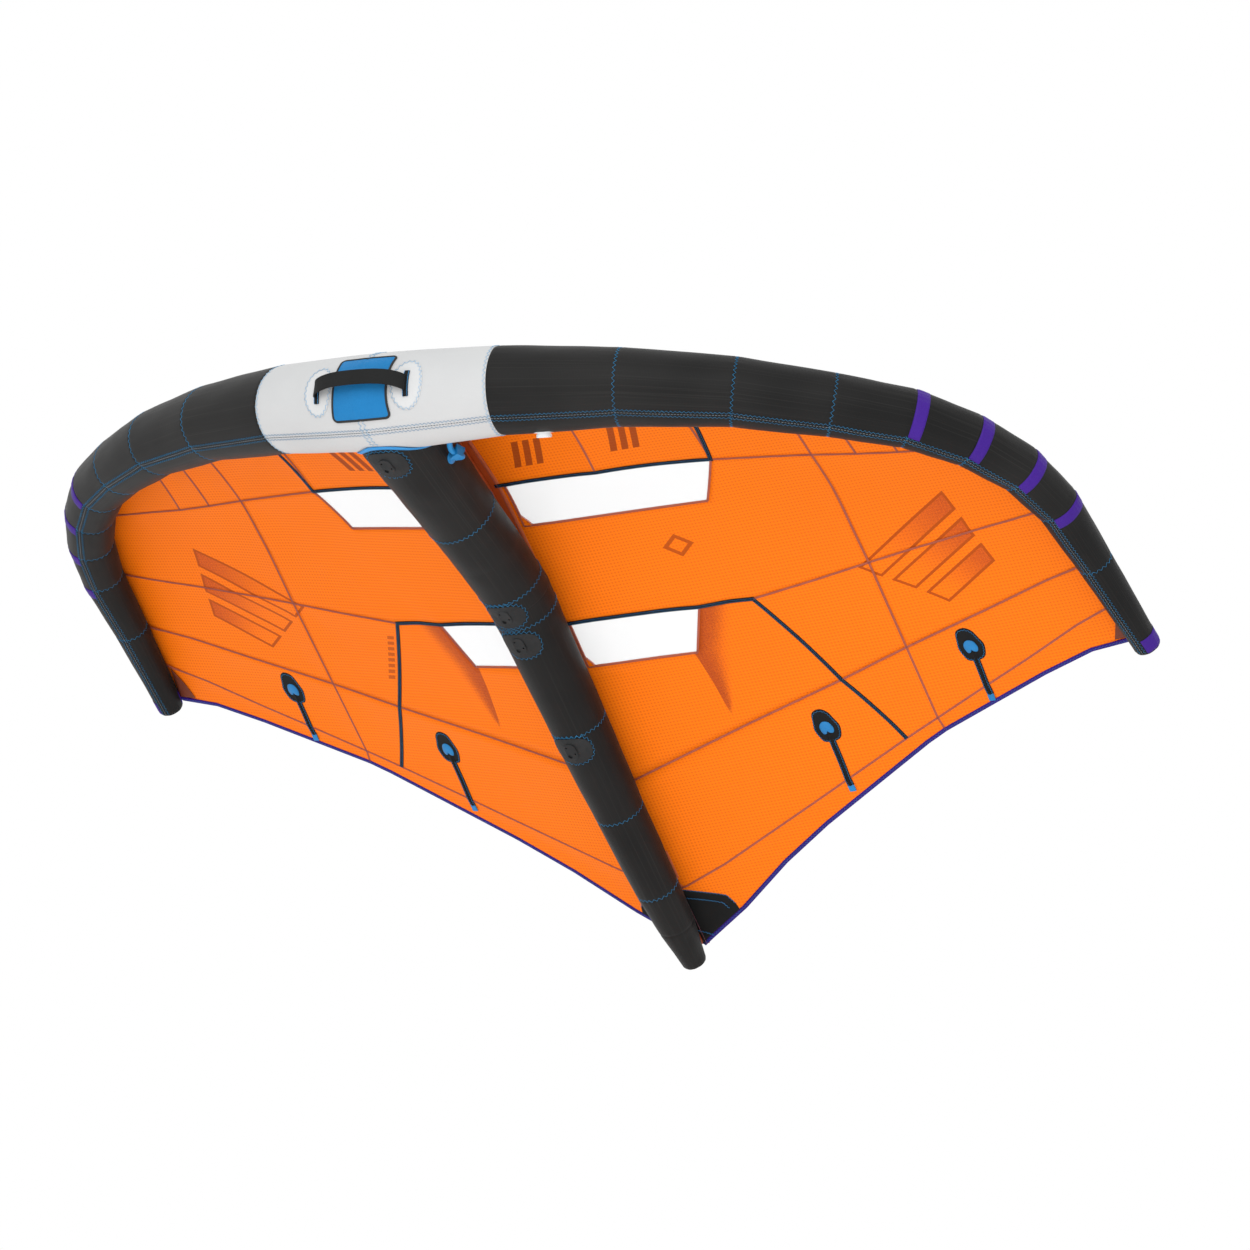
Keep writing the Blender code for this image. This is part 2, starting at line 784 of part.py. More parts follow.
def build_strut_binding():
    """The bound seam where the strut's sleeve is sewn to the leading edge, up to the canopy."""
    outer = strut_form(seam_gap + binding_thickness, (binding_start, 1, 2))
    binding = add("strut_binding", outer, blue, 0.5)
    combine(binding, "binding_reach", edge_form(seam_gap + binding_width), "INTERSECT")
    combine(binding, "binding_seat", edge_form(seam_gap), "DIFFERENCE")
    combine(binding, "binding_bore", strut_form(seam_gap, (0, 1, 2, 3)), "DIFFERENCE")
    above = bmesh.new()
    half = strut_diameter
    centre = Vector((0, 0, binding_top_share * edge_diameter / 2 + half))
    block(above, centre, (half, half, half), (Vector((1, 0, 0)), Vector((0, 1, 0)), Vector((0, 0, 1))))
    combine(binding, "binding_ends", above, "DIFFERENCE")


# Canopy

def build_canopy_panel(name, blocks, side):
    cells = []
    for (top, bottom), (left, right) in blocks:
        for j in range(top, bottom):
            for i in range(left, right):
                cells.append(((j, i), (j, i + 1), (j + 1, i + 1), (j + 1, i)))
    edges = {(cell[k], cell[(k + 1) % 4]) for cell in cells for k in range(4)}
    border = sorted(e for e in edges if (e[1], e[0]) not in edges)
    after = dict(border)
    before = {b: a for a, b in border}
    keys = sorted({key for cell in cells for key in cell})
    tops = []
    bottoms = []
    for key in keys:
        here = nodes[key[0]][key[1]]
        spot = here.xy
        if key in after:
            back = (nodes[before[key][0]][before[key][1]].xy - spot).normalized()
            ahead = (nodes[after[key][0]][after[key][1]].xy - spot).normalized()
            one = Vector((back.y, -back.x))
            two = Vector((-ahead.y, ahead.x))
            spot += (one + two) / (1 + one.dot(two)) * seam_gap / 2
        tops.append(Vector((side * spot.x, spot.y, here.z + cloth / 2)))
        bottoms.append(Vector((side * spot.x, spot.y, here.z - cloth / 2)))
    index = {key: n for n, key in enumerate(keys)}
    faces = []
    for a, b, c, d in cells:
        faces.append((index[a], index[b], index[c]))
        faces.append((index[a], index[c], index[d]))
    shape = bmesh.new()
    slab(shape, tops, bottoms, faces, [(index[a], index[b]) for a, b in border])
    if name.startswith("window"):
        add(name, shape, clear_film, 0.1, 0.4)
    else:
        add(name, shape, orange, 0.6)


def build_canopy():
    for side, word in ((-1, "left"), (1, "right")):
        for name, blocks in panel_blocks.items():
            build_canopy_panel(f"{name}_{word}", blocks, side)


def build_spine():
    """The strip that joins the canopy's halves, with the web that ties it to the strut's top."""
    inner = [row[0] for row in nodes]
    stops = {p.y for p in inner}
    stops |= {p.y for p in strut_top if web_start + web_half < p.y < inner[-1].y}
    stops |= {web_start, web_start + web_half}
    shape = bmesh.new()
    rings = []
    w, n = spine_half_width, web_half
    for y in sorted(stops):
        level = polyline_at(inner, 1, y).z
        top = level + cloth / 2
        low = level - cloth / 2
        foot = low - web_half
        if y > web_start:
            foot = polyline_at(strut_top, 1, y).z + seam_gap
        outline = ((-w, top), (-w, low), (-n, low), (-n, foot), (n, foot), (n, low), (w, low), (w, top))
        rings.append([Vector((x, y, z)) for x, z in outline])
    loft(shape, rings)
    add("canopy_spine", shape, brown, 0.6)


def mitres(path):
    """The outward push of each point of a path in plan, to its left, for a unit of width."""
    pushes = []
    last = len(path) - 1
    for n, here in enumerate(path):
        one = (here - path[n - 1] if n else path[1] - here).normalized()
        two = (path[n + 1] - here if n < last else here - path[n - 1]).normalized()
        first = Vector((-one.y, one.x))
        second = Vector((-two.y, two.x))
        pushes.append((first + second) / (1 + first.dot(second)))
    return pushes


def under_cloth(x, y, depth):
    return Vector((x, y, cloth_height(x, y) - cloth / 2 - depth))


def build_tape(name, path, side):
    tops = []
    bottoms = []
    for here, push in zip(path, mitres(path)):
        reach = push * tape_half_width
        spots = [(side * p.x, p.y) for p in (here + reach, here, here - reach)]
        tops.append([under_cloth(x, y, trim_gap) for x, y in spots])
        bottoms.append([under_cloth(x, y, trim_gap + trim_thickness) for x, y in spots])
    shape = bmesh.new()
    grid_slab(shape, tops, bottoms)
    add(name, shape, black, 0.6)


def build_tapes():
    rear_rows = range(rear_tape_row + 1, len(nodes) - 1)
    for side, word in ((-1, "left"), (1, "right")):
        front = [nodes[front_seam_row][i].xy for i in range(1, tape_column + 1)]
        front.append(nodes[1][tape_column].xy)
        end = nodes[0][tape_column].xy
        front.append(end + (front[-1] - end).normalized() * tape_start)
        build_tape(f"tape_front_{word}", front, side)
        rear = [nodes[rear_tape_row][i].xy for i in range(1, tape_column + 1)]
        rear += [nodes[j][tape_column].xy for j in rear_rows]
        build_tape(f"tape_rear_{word}", rear, side)


def build_hems():
    """The bound trailing edges, from the spine out to each tip."""
    path = [p.xy for p in nodes[-1]]
    path[-1] = path[-2].lerp(path[-1], hem_end_share)
    half = hem_height / 2
    for side, word in ((-1, "left"), (1, "right")):
        rings = []
        for here, push in zip(path, mitres(path)):
            height = cloth_height(here.x, here.y)
            close = here + push * seat_gap
            away = here + push * (seat_gap + hem_depth)
            outline = ((close, -half), (away, -half), (away, half), (close, half))
            rings.append([Vector((side * p.x, p.y, height + z)) for p, z in outline])
        shape = bmesh.new()
        loft(shape, rings)
        add(f"trailing_hem_{word}", shape, purple, 0.6)


# Battens

def egg(front, turn, level):
    """An outline that is round aft and longer and slimmer forward."""
    half = batten_patch_width / 2
    reach = half if math.sin(turn) > 0 else batten_patch_length - half
    spot = Vector((math.cos(turn) * half, math.sin(turn) * reach))
    return front + Vector((0, batten_patch_setback)) + spot * level


def build_batten_patch(name, front, side):
    def place_at(turn, level, drop):
        spot = egg(front, turn, level)
        return under_cloth(side * spot.x, spot.y, drop)

    shape = bmesh.new()
    levels = (batten_level_share, 1.0)
    disc_slab(shape, place_at, batten_patch_points, levels, trim_gap + trim_thickness, trim_gap)
    add(name, shape, black, 0.6)


def build_batten(name, front, back, side):
    """A rod with its moulded end at the patch and its tab at the trailing edge."""
    along = (back - front).normalized()
    length = (back - front).length - seat_gap
    cap_half = batten_cap_width / 2
    tab_half = batten_tab_width / 2
    flat_half = batten_cap_height / 2
    tab_start = length - batten_tab_length
    stations = []
    for along_share, wide_share, high_share in batten_cap_shares:
        stations.append((batten_cap_length * along_share, cap_half * wide_share, flat_half * high_share))
    stations.append((batten_cap_length / 2 + batten_step, batten_radius, batten_radius))
    stations.append((tab_start - batten_step, batten_radius, batten_radius))
    for reach, (wide_share, high_share) in zip((tab_start, length), batten_tab_shares):
        stations.append((reach, tab_half * wide_share, flat_half * high_share))
    depth = trim_gap + trim_thickness + seat_gap + flat_half
    facet_half = math.pi / batten_sides
    rings = []
    for reach, half_width, half_height in stations:
        spot = front + along * reach
        ring = []
        for turn in turns(batten_sides):
            wide = math.cos(turn + facet_half) / math.cos(facet_half)
            high = math.sin(turn + facet_half) / math.cos(facet_half)
            x = side * (spot.x + wide * half_width)
            ring.append(under_cloth(x, spot.y, depth - high * half_height))
        rings.append(ring)
    shape = bmesh.new()
    loft(shape, rings)
    add(name, shape, blue, 0.45)


def build_battens():
    for side, word in ((-1, "left"), (1, "right")):
        for where, ends in batten_shares.items():
            front, back = [Vector((a * half_span, b * strut_length)) for a, b in ends]
            build_batten_patch(f"batten_patch_{where}_{word}", front, side)
            build_batten(f"batten_{where}_{word}", front, back, side)


# Handle plates under the strut

def build_plate(name, centre_y):
    """A moulded pad that hugs the tube, with a flat boss that bolt-on handles seat on."""
    radius = strut.radius(strut.place(centre_y, 1))

    def place_at(turn, level, lift):
        run, rise = math.cos(turn), math.sin(turn)
        power = plate_pad_squareness
        reach = level * (abs(run) ** power + abs(rise) ** power) ** (-1 / power)
        around = rise * reach * plate_pad_width / 2 / radius
        y = centre_y + run * reach * plate_pad_length / 2
        return strut.point(strut.place(y, 1), around - math.pi / 2, lift)

    shape = bmesh.new()
    top = plate_gap + plate_pad_thickness
    disc_slab(shape, place_at, plate_points, plate_level_shares, plate_gap, top)
    plate = add(name, shape, grey, 0.45)

    face, down, aft = plate_seat(centre_y)
    across = Vector((1, 0, 0))
    half = (plate_length - plate_width) / 2
    outline = []
    for turn in turns(plate_points):
        end = math.copysign(half, math.cos(turn))
        outline.append(aft * (math.cos(turn) * plate_width / 2 + end)
                       + across * math.sin(turn) * plate_width / 2)
    boss = bmesh.new()
    inset_share = 1 - plate_bevel / plate_width * 2
    base = plate_drop + plate_pad_thickness / 2
    rings = []
    for depth, width_share in ((0.0, inset_share), (plate_bevel, 1.0), (base, 1.0)):
        rings.append([face - down * depth + p * width_share for p in outline])
    loft(boss, rings)
    combine(plate, name + "_boss", boss, "UNION")
    everywhere = range(strut.last + 1)
    combine(plate, name + "_seat", strut_form(seam_gap, everywhere), "DIFFERENCE")
    holes = bmesh.new()
    for wide, long, bore in plate_hole_shares:
        spot = face + across * wide * plate_width + aft * long * plate_length
        bottom = spot - down * (plate_drop - plate_hole_floor)
        rod(holes, bottom, spot + down * plate_drop, bore * plate_width, 12)
    combine(plate, name + "_holes", holes, "DIFFERENCE")


def build_plates():
    held = held_plate_share * strut_length
    ahead = held - plate_pad_length - pair_gap
    distances = (front_plate_distance, ahead, held, rear_plate_share * strut_length)
    for n, distance in enumerate(distances):
        build_plate(f"handle_plate_{n + 1}", distance)


# Front handle

def handle_point(x, angle, lift):
    return edge.point(edge.place(x, 0), angle, lift)


def build_handle_patches():
    radius = edge.radius(edge.place(handle_reach, 0))
    for side, word in ((-1, "left"), (1, "right")):
        def place_at(turn, level, lift):
            x = side * handle_reach + math.cos(turn) * level * oval_width / 2
            arc = math.sin(turn) * level * oval_length / 2
            return handle_point(x, handle_angle + arc / radius, lift)

        shape = bmesh.new()
        disc_slab(shape, place_at, oval_points, oval_level_shares, sew_gap, sew_gap + oval_thickness)
        add(f"handle_patch_{word}", shape, white, 0.6)


def build_front_handle():
    """A webbing strap that arches over the knuckle pad between its two sewn tabs."""
    low = sew_gap + oval_thickness + sew_gap
    radius = edge.radius(edge.place(handle_reach, 0))
    stations = []
    for n in range(strap_steps + 1):
        turn = math.pi * n / strap_steps
        run = abs(math.cos(turn)) ** (2 / strap_squareness)
        x = -math.copysign(run, math.cos(turn)) * handle_reach
        lift = math.sin(turn) ** (2 / strap_squareness)
        stations.append((x, handle_angle - handle_lean * lift ** 3, lift))
    seat = low + tab_thickness / 2
    path = [handle_point(x, angle, seat + handle_standoff * lift) for x, angle, lift in stations]
    rings = []
    for n, here in enumerate(path):
        x, angle, _ = stations[n]
        along = (path[min(n + 1, strap_steps)] - path[max(n - 1, 0)]).normalized()
        around = edge.outward(edge.place(x, 0), angle + math.pi / 2)
        across = (around - along * around.dot(along)).normalized() * strap_width / 2
        normal = across.cross(along).normalized() * strap_thickness / 2
        rings.append([here - across - normal, here + across - normal,
                      here + across + normal, here - across + normal])
    strap = bmesh.new()
    loft(strap, rings)
    handle = add("front_handle", strap, black, 0.7)
    for side, word in ((-1, "left"), (1, "right")):
        tops = []
        bottoms = []
        for k in range(tab_steps + 1):
            angle = handle_angle + (k / tab_steps - 0.5) * tab_length / radius
            spots = [side * handle_reach - tab_width / 2, side * handle_reach + tab_width / 2]
            tops.append([handle_point(x, angle, low + tab_thickness) for x in spots])
            bottoms.append([handle_point(x, angle, low) for x in spots])
        tab = bmesh.new()
        grid_slab(tab, tops, bottoms)
        combine(handle, "handle_tab_" + word, tab, "UNION")


def build_knuckle_pad():
    full_half = handle_reach - oval_width / 2 - pad_clearance
    tops = []
    bottoms = []
    for j in range(pad_rows + 1):
        v = j / pad_rows
        angle = lerp(pad_top_angle, pad_bottom_angle, v)
        half = full_half * (1 - pad_waist_share * math.sin(math.pi * v))
        top = []
        bottom = []
        for i in range(pad_columns + 1):
            u = 2 * i / pad_columns - 1
            fade = 1 - pad_edge_share * max(abs(u), abs(2 * v - 1)) ** pad_edge_power
            top.append(handle_point(u * half, angle, sew_gap + pad_thickness * fade))
            bottom.append(handle_point(u * half, angle, sew_gap))
        tops.append(top)
        bottoms.append(bottom)
    shape = bmesh.new()
    grid_slab(shape, tops, bottoms)
    add("knuckle_pad", shape, blue, 0.6)


# Inflation valve

def valve_frame():
    """Centre of the valve on the sleeve's facet, its axis, and two directions across it."""
    centre, out, along = edge.seat(valve_place(), valve_angle, valve_flange_radius)
    return centre, out, along, out.cross(along).normalized()


def build_valve_body(frame, hinge):
    centre, out, along, across = frame
    profile = (
        (valve_bore, -valve_stem), (valve_stem_radius, -valve_stem), (valve_stem_radius, seat_gap),
        (valve_flange_radius, seat_gap), (valve_flange_radius, valve_flange),
        (valve_neck_radius, valve_flange + seat_gap), (valve_neck_radius, valve_height),
        (valve_bore, valve_height),
    )
    body = bmesh.new()
    turned(body, profile, *frame)
    valve = add("valve_body", body, white, 0.35)
    half_barrel = hinge_width / 2
    ear_top = hinge_height + hinge_radius
    ear_low = valve_flange / 2
    reach = half_barrel + hinge_play + ear_width / 2
    for side, word in ((-1, "front"), (1, "back")):
        ear = bmesh.new()
        foot = hinge + along * side * reach + out * ((ear_top + ear_low) / 2 - hinge_height)
        block(ear, foot, (ear_width / 2, hinge_radius, (ear_top - ear_low) / 2), (along, across, out))
        combine(valve, "valve_ear_" + word, ear, "UNION")
    pin = bmesh.new()
    rod(pin, hinge - along * reach, hinge + along * reach, hinge_pin, 12)
    combine(valve, "valve_pin", pin, "UNION")


def build_valve_core(frame):
    centre, out, along, across = frame
    radius = valve_bore - seat_gap
    rim = core_height - core_grip
    cup_top, cup_foot = [share * radius for share in core_cup_shares]
    profile = (
        (0, -valve_stem), (radius, -valve_stem), (radius, rim),
        (cup_top, rim), (cup_foot, core_foot), (0, core_foot),
    )
    core = bmesh.new()
    turned(core, profile, *frame)
    plug = add("valve_core", core, grey, 0.4, pivot=centre)
    bar = bmesh.new()
    sunk = core_foot / 2
    half_height = (core_height - sunk) / 2
    sizes = (radius * core_bar_share, core_grip / 4, half_height)
    block(bar, centre + out * (sunk + half_height), sizes, (along, across, out))
    combine(plug, "core_bar", bar, "UNION")


def build_valve_cap(frame, hinge):
    centre, out, along, across = frame
    inner = valve_neck_radius + seat_gap
    outer = inner + cap_wall
    roof = valve_height + seat_gap
    lip = roof - cap_skirt
    crown = roof + cap_wall
    profile = (
        (0, roof), (inner, roof), (inner, lip), (outer, lip),
        (outer, roof + cap_wall / 2), (outer - cap_wall / 2, crown), (0, crown),
    )
    cap = bmesh.new()
    turned(cap, profile, *frame)
    lid = add("valve_cap", cap, grey, 0.4, pivot=hinge)
    half_barrel = hinge_width / 2
    arm_low = hinge_height - hinge_radius * cap_arm_share
    near = outer - cap_wall / 2
    arm = bmesh.new()
    arm_centre = centre - across * (near + hinge_reach) / 2 + out * (arm_low + roof) / 2
    sizes = (half_barrel, (hinge_reach - near) / 2, (roof - arm_low) / 2)
    block(arm, arm_centre, sizes, (along, across, out))
    combine(lid, "cap_arm", arm, "UNION")
    barrel = bmesh.new()
    rod(barrel, hinge - along * half_barrel, hinge + along * half_barrel, hinge_radius, 16)
    combine(lid, "cap_barrel", barrel, "UNION")
    bore = bmesh.new()
    rod(bore, hinge - along * hinge_width, hinge + along * hinge_width, hinge_pin + hinge_play, 12)
    combine(lid, "cap_bore", bore, "DIFFERENCE")


def build_valve():
    frame = valve_frame()
    centre, out, _, across = frame
    hinge = centre - across * hinge_reach + out * hinge_height
    build_valve_body(frame, hinge)
    build_valve_core(frame)
    build_valve_cap(frame, hinge)


# Air hose and clamp

def bend(a, b, c, d, steps):
    points = []
    for n in range(steps + 1):
        t = n / steps
        s = 1 - t
        points.append(a * s ** 3 + b * 3 * t * s ** 2 + c * 3 * t ** 2 * s + d * t ** 3)
    return points


def hose_route():
    """Points of the hose, straight through its clamp, and the way out of its two ports."""
    strut_at, edge_at = hose_places()
    start, leave, _ = strut.seat(strut_at, hose_strut_angle, flange_radius)
    end, enter, _ = edge.seat(edge_at, hose_edge_angle, flange_radius)
    first = start + leave * seat_gap
    last = end + enter * seat_gap
    corner = (first + last) / 2 + (leave + enter) * hose_reach * hose_corner_share
    along = (last + enter * hose_reach - first - leave * hose_reach).normalized()
    half = along * clamp_length * hose_straight_share
    pull = hose_reach * hose_pull_share
    points = [first - leave * valve_stem]
    points += bend(first, first + leave * pull, corner - half - along * pull, corner - half, hose_steps)
    points += bend(corner + half, corner + half + along * pull, last + enter * pull, last, hose_steps)
    points.append(last - enter * valve_stem)
    return points, leave, enter


def build_hose(route):
    """The hose with a stub through each port and the flange that seals on the sleeve."""
    points, leave, enter = route
    last = len(points) - 1
    stations = []
    for n, here in enumerate(points):
        along = (points[min(n + 1, last)] - points[max(n - 1, 0)]).normalized()
        if n < 2:
            along = leave
        if n > last - 2:
            along = -enter
        stations.append((here, along, hose_radius))
    near = points[1]
    far = points[-2]
    collar = [(near, leave, flange_radius), (near + leave * flange_thickness, leave, flange_radius),
              (near + leave * flange_thickness, leave, hose_radius)]
    stations[2:2] = collar
    collar = [(far + enter * flange_thickness, -enter, hose_radius),
              (far + enter * flange_thickness, -enter, flange_radius), (far, -enter, flange_radius)]
    stations[-2:-2] = collar
    rings = []
    for here, along, radius in stations:
        up = (Vector((0, 0, 1)) - along * along.z).normalized()
        side = along.cross(up)
        rings.append([here + (side * math.cos(t) + up * math.sin(t)) * radius for t in turns(hose_sides)])
    shape = bmesh.new()
    loft(shape, rings)
    add("air_hose", shape, blue, 0.4)


def build_clamp(route):
    points = route[0]
    half = len(points) // 2
    centre = (points[half - 1] + points[half]) / 2
    along = (points[half] - points[half - 1]).normalized()
    up = (Vector((0, 0, 1)) - along * along.z).normalized()
    out = along.cross(up).normalized()
    if out.x > 0:
        out = -out
    axes = (along, out, up)
    mouth = hose_radius + seam_gap
    body = bmesh.new()
    block(body, centre, (clamp_length / 2, clamp_width / 2, clamp_height / 2), axes)
    clamp = add("hose_clamp", body, blue, 0.4)
    bore = bmesh.new()
    rod(bore, centre - along * clamp_length, centre + along * clamp_length, mouth, 20)
    combine(clamp, "clamp_bore", bore, "DIFFERENCE")
    opening = bmesh.new()
    block(opening, centre + up * clamp_height / 2, (clamp_length, mouth, clamp_height / 2), axes)
    combine(clamp, "clamp_opening", opening, "DIFFERENCE")

    jaw_low = clamp_height / 2 + jaw_gap
    jaw_middle = jaw_low + jaw_thickness / 2
    pivot = centre - out * (clamp_width - jaw_thickness) / 2 + up * jaw_middle
    plate = bmesh.new()
    sizes = (clamp_length / 2 - jaw_gap, clamp_width / 2 - jaw_gap, jaw_thickness / 2)
    block(plate, centre + up * jaw_middle, sizes, axes)
    jaw = add("clamp_jaw", plate, blue, 0.4, pivot=pivot)
    nose = bmesh.new()
    nose_top = jaw_low + jaw_gap
    sizes = (clamp_length / 6, mouth * jaw_nose_share, (nose_top - mouth) / 2)
    block(nose, centre + up * (nose_top + mouth) / 2, sizes, axes)
    combine(jaw, "jaw_nose", nose, "UNION")
    hole = bmesh.new()
    rod(hole, pivot - along * clamp_length, pivot + along * clamp_length, jaw_pin + hinge_play, 12)
    combine(jaw, "jaw_bore", hole, "DIFFERENCE")

    reach = clamp_length / 2 + hinge_play + ear_width / 2
    half_jaw = jaw_thickness / 2
    for side, word in ((-1, "front"), (1, "back")):
        tip = pivot + along * side * reach
        ear = bmesh.new()
        block(ear, tip - up * (half_jaw + jaw_gap), (ear_width / 2, half_jaw, jaw_thickness + jaw_gap), axes)
        combine(clamp, "clamp_ear_" + word, ear, "UNION")
        foot = bmesh.new()
        spot = tip - up * (jaw_thickness + half_jaw + jaw_gap * 2) - along * side * ear_width
        foot_half = half_jaw * clamp_foot_share
        block(foot, spot, (ear_width + jaw_gap / 2, foot_half, foot_half), axes)
        combine(clamp, "clamp_foot_" + word, foot, "UNION")
    pin = bmesh.new()
    rod(pin, pivot - along * reach, pivot + along * reach, jaw_pin, 12)
    combine(clamp, "clamp_pin", pin, "UNION")


for thing in list(bpy.data.objects):
    bpy.data.objects.remove(thing, do_unlink=True)
wing_frame = make_frame()
build_edge_sleeves()
build_bladders()
build_strut_sleeves()
build_strut_binding()
build_canopy()
build_spine()
build_tapes()
build_hems()
build_battens()
build_plates()
build_handle_patches()
build_front_handle()
build_knuckle_pad()
build_valve()
build_hose(hose_route())
build_clamp(hose_route())
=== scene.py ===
import math

import bmesh
import bpy
import numpy as np
from mathutils import Matrix, Vector, noise


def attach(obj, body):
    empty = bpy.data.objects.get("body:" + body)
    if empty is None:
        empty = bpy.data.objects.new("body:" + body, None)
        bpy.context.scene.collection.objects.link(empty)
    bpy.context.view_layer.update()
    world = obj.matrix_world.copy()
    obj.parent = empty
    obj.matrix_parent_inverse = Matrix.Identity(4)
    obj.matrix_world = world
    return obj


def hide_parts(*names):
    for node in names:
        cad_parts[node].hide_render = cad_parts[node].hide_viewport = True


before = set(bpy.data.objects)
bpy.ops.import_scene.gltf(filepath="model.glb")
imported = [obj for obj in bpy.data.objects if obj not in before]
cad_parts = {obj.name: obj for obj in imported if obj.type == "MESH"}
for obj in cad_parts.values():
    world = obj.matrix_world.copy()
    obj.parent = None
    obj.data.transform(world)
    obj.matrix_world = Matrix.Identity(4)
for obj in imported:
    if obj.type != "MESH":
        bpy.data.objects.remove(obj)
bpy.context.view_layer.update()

# The wing is drawn level, +X to its right, +Y aft and +Z up, then tilted nose-up as it is flown
attitude = {"noseUp": 47.0, "centre": (0.0, -0.59164, 0.545257)}
tilt = Matrix.Translation(attitude["centre"]) @ Matrix.Rotation(-math.radians(attitude["noseUp"]), 4, "X")
turned = np.array(tilt.to_3x3()).T
hands = ((-1, "left"), (1, "right"))

camera = {
    "place": (9.519, -14.769, -1.662),
    "ahead": (-0.5267, 0.8445, 0.0971),
    "right": (0.8481, 0.5297, -0.0069),
    "lens": 206.3,
}


def addObject(name, data):
    made = bpy.data.objects.new(name, data)
    bpy.context.scene.collection.objects.link(made)
    return made


def makeCamera():
    data = bpy.data.cameras.new("wingView")
    data.lens = camera["lens"]
    data.clip_end = 200
    seer = addObject("wingView", data)
    back = -Vector(camera["ahead"]).normalized()
    up = back.cross(Vector(camera["right"])).normalized()
    turn = Matrix((up.cross(back), up, back)).transposed().to_4x4()
    seer.matrix_world = Matrix.Translation(camera["place"]) @ turn
    bpy.context.scene.camera = seer


makeCamera()


# Node graphs: a socket that adds Math nodes when it is used in an expression
class Number:
    def __init__(self, graph, socket):
        self.graph = graph
        self.socket = socket

    def maths(self, operation, *others):
        return self.graph.node("ShaderNodeMath", {"operation": operation}, dict(enumerate((self, *others))))

    def __add__(self, other):
        return self.maths("ADD", other)

    def __sub__(self, other):
        return self.maths("SUBTRACT", other)

    def __mul__(self, other):
        return self.maths("MULTIPLY", other)

    def __truediv__(self, other):
        return self.maths("DIVIDE", other)

    def __rsub__(self, other):
        return self.graph.node("ShaderNodeMath", {"operation": "SUBTRACT"}, {0: other, 1: self})

    def __lt__(self, other):
        return self.maths("LESS_THAN", other)

    __radd__ = __add__
    __rmul__ = __mul__

    def sine(self):
        return self.maths("SINE")

    def size(self):
        return self.maths("ABSOLUTE")

    def share(self):
        return self.maths("FRACT")

    def between(self, low, high):
        # 0 below low, 1 above high, smooth in between
        settings = {"interpolation_type": "SMOOTHSTEP"}
        return self.graph.node("ShaderNodeMapRange", settings, {0: self, 1: low, 2: high})


class Graph:
    def __init__(self, tree):
        self.tree = tree

    def join(self, socket, value):
        if isinstance(value, Number):
            self.tree.links.new(value.socket, socket)
        else:
            socket.default_value = value

    def node(self, kind, settings=None, values=None, output=0):
        made = self.tree.nodes.new(kind)
        for key, value in (settings or {}).items():
            setattr(made, key, value)
        for key, value in (values or {}).items():
            self.join(made.inputs[key], value)
        return Number(self, made.outputs[output])


def shade(code):
    # a picture's colour code as the linear colour that a shader takes
    parts = [int(code[n:n + 2], 16) / 255 for n in (1, 3, 5)]
    return tuple(p / 12.92 if p <= 0.04045 else ((p + 0.055) / 1.055) ** 2.4 for p in parts) + (1.0,)


class Finish(Graph):
    def __init__(self, name, roughness=0.6, **constants):
        self.material = bpy.data.materials.new(name)
        self.material.use_nodes = True
        super().__init__(self.material.node_tree)
        self.shader = self.tree.nodes["Principled BSDF"]
        self.shader.inputs["Roughness"].default_value = roughness
        for socket, value in constants.items():
            self.shader.inputs[socket.replace("_", " ")].default_value = value

    def feed(self, socket, value):
        self.join(self.shader.inputs[socket], value)

    def spot(self):
        # where on the cloth, in metres, from the piece's own map
        place = self.node("ShaderNodeUVMap", {"uv_map": "clothMap"})
        split = self.node("ShaderNodeSeparateXYZ", {}, {0: place})
        return [Number(self, out) for out in split.socket.node.outputs]

    def grain(self, scale, detail=2.0):
        place = self.node("ShaderNodeTexCoord", {}, {}, 3)
        return self.node("ShaderNodeTexNoise", {}, {"Vector": place, "Scale": scale, "Detail": detail})

    def mix(self, amount, one, two):
        return self.node("ShaderNodeMix", {"data_type": "RGBA"}, {0: amount, 6: one, 7: two}, 2)

    def bump(self, height, strength, distance):
        values = {"Strength": strength, "Distance": distance, "Height": height}
        self.feed("Normal", self.node("ShaderNodeBump", {}, values))


def clothFinish(name, colour, dark, cell, depth, roughness, fleck, specular):
    # a woven or coated cloth: threads crossing in cells, a slow change of tone, and a bump
    made = Finish(name, roughness, Specular_IOR_Level=specular)
    u, v, _ = made.spot()
    warp = (u * (math.tau / cell)).sine()
    weft = (v * (math.tau / cell)).sine()
    weave = (warp * weft) * 0.5 + 0.5
    cloudy = made.grain(7.0, 3.0).between(0.3, 0.75)
    speck = made.grain(420.0, 1.0).between(0.35, 0.8)
    amount = weave * 0.35 + cloudy * (1 - fleck) * 0.5 + speck * fleck * 0.5
    made.feed("Base Color", made.mix(amount, shade(colour), shade(dark)))
    made.feed("Roughness", speck * 0.12 + (roughness - 0.06))
    made.bump(weave + speck * 0.4, 0.35, depth)
    return made.material


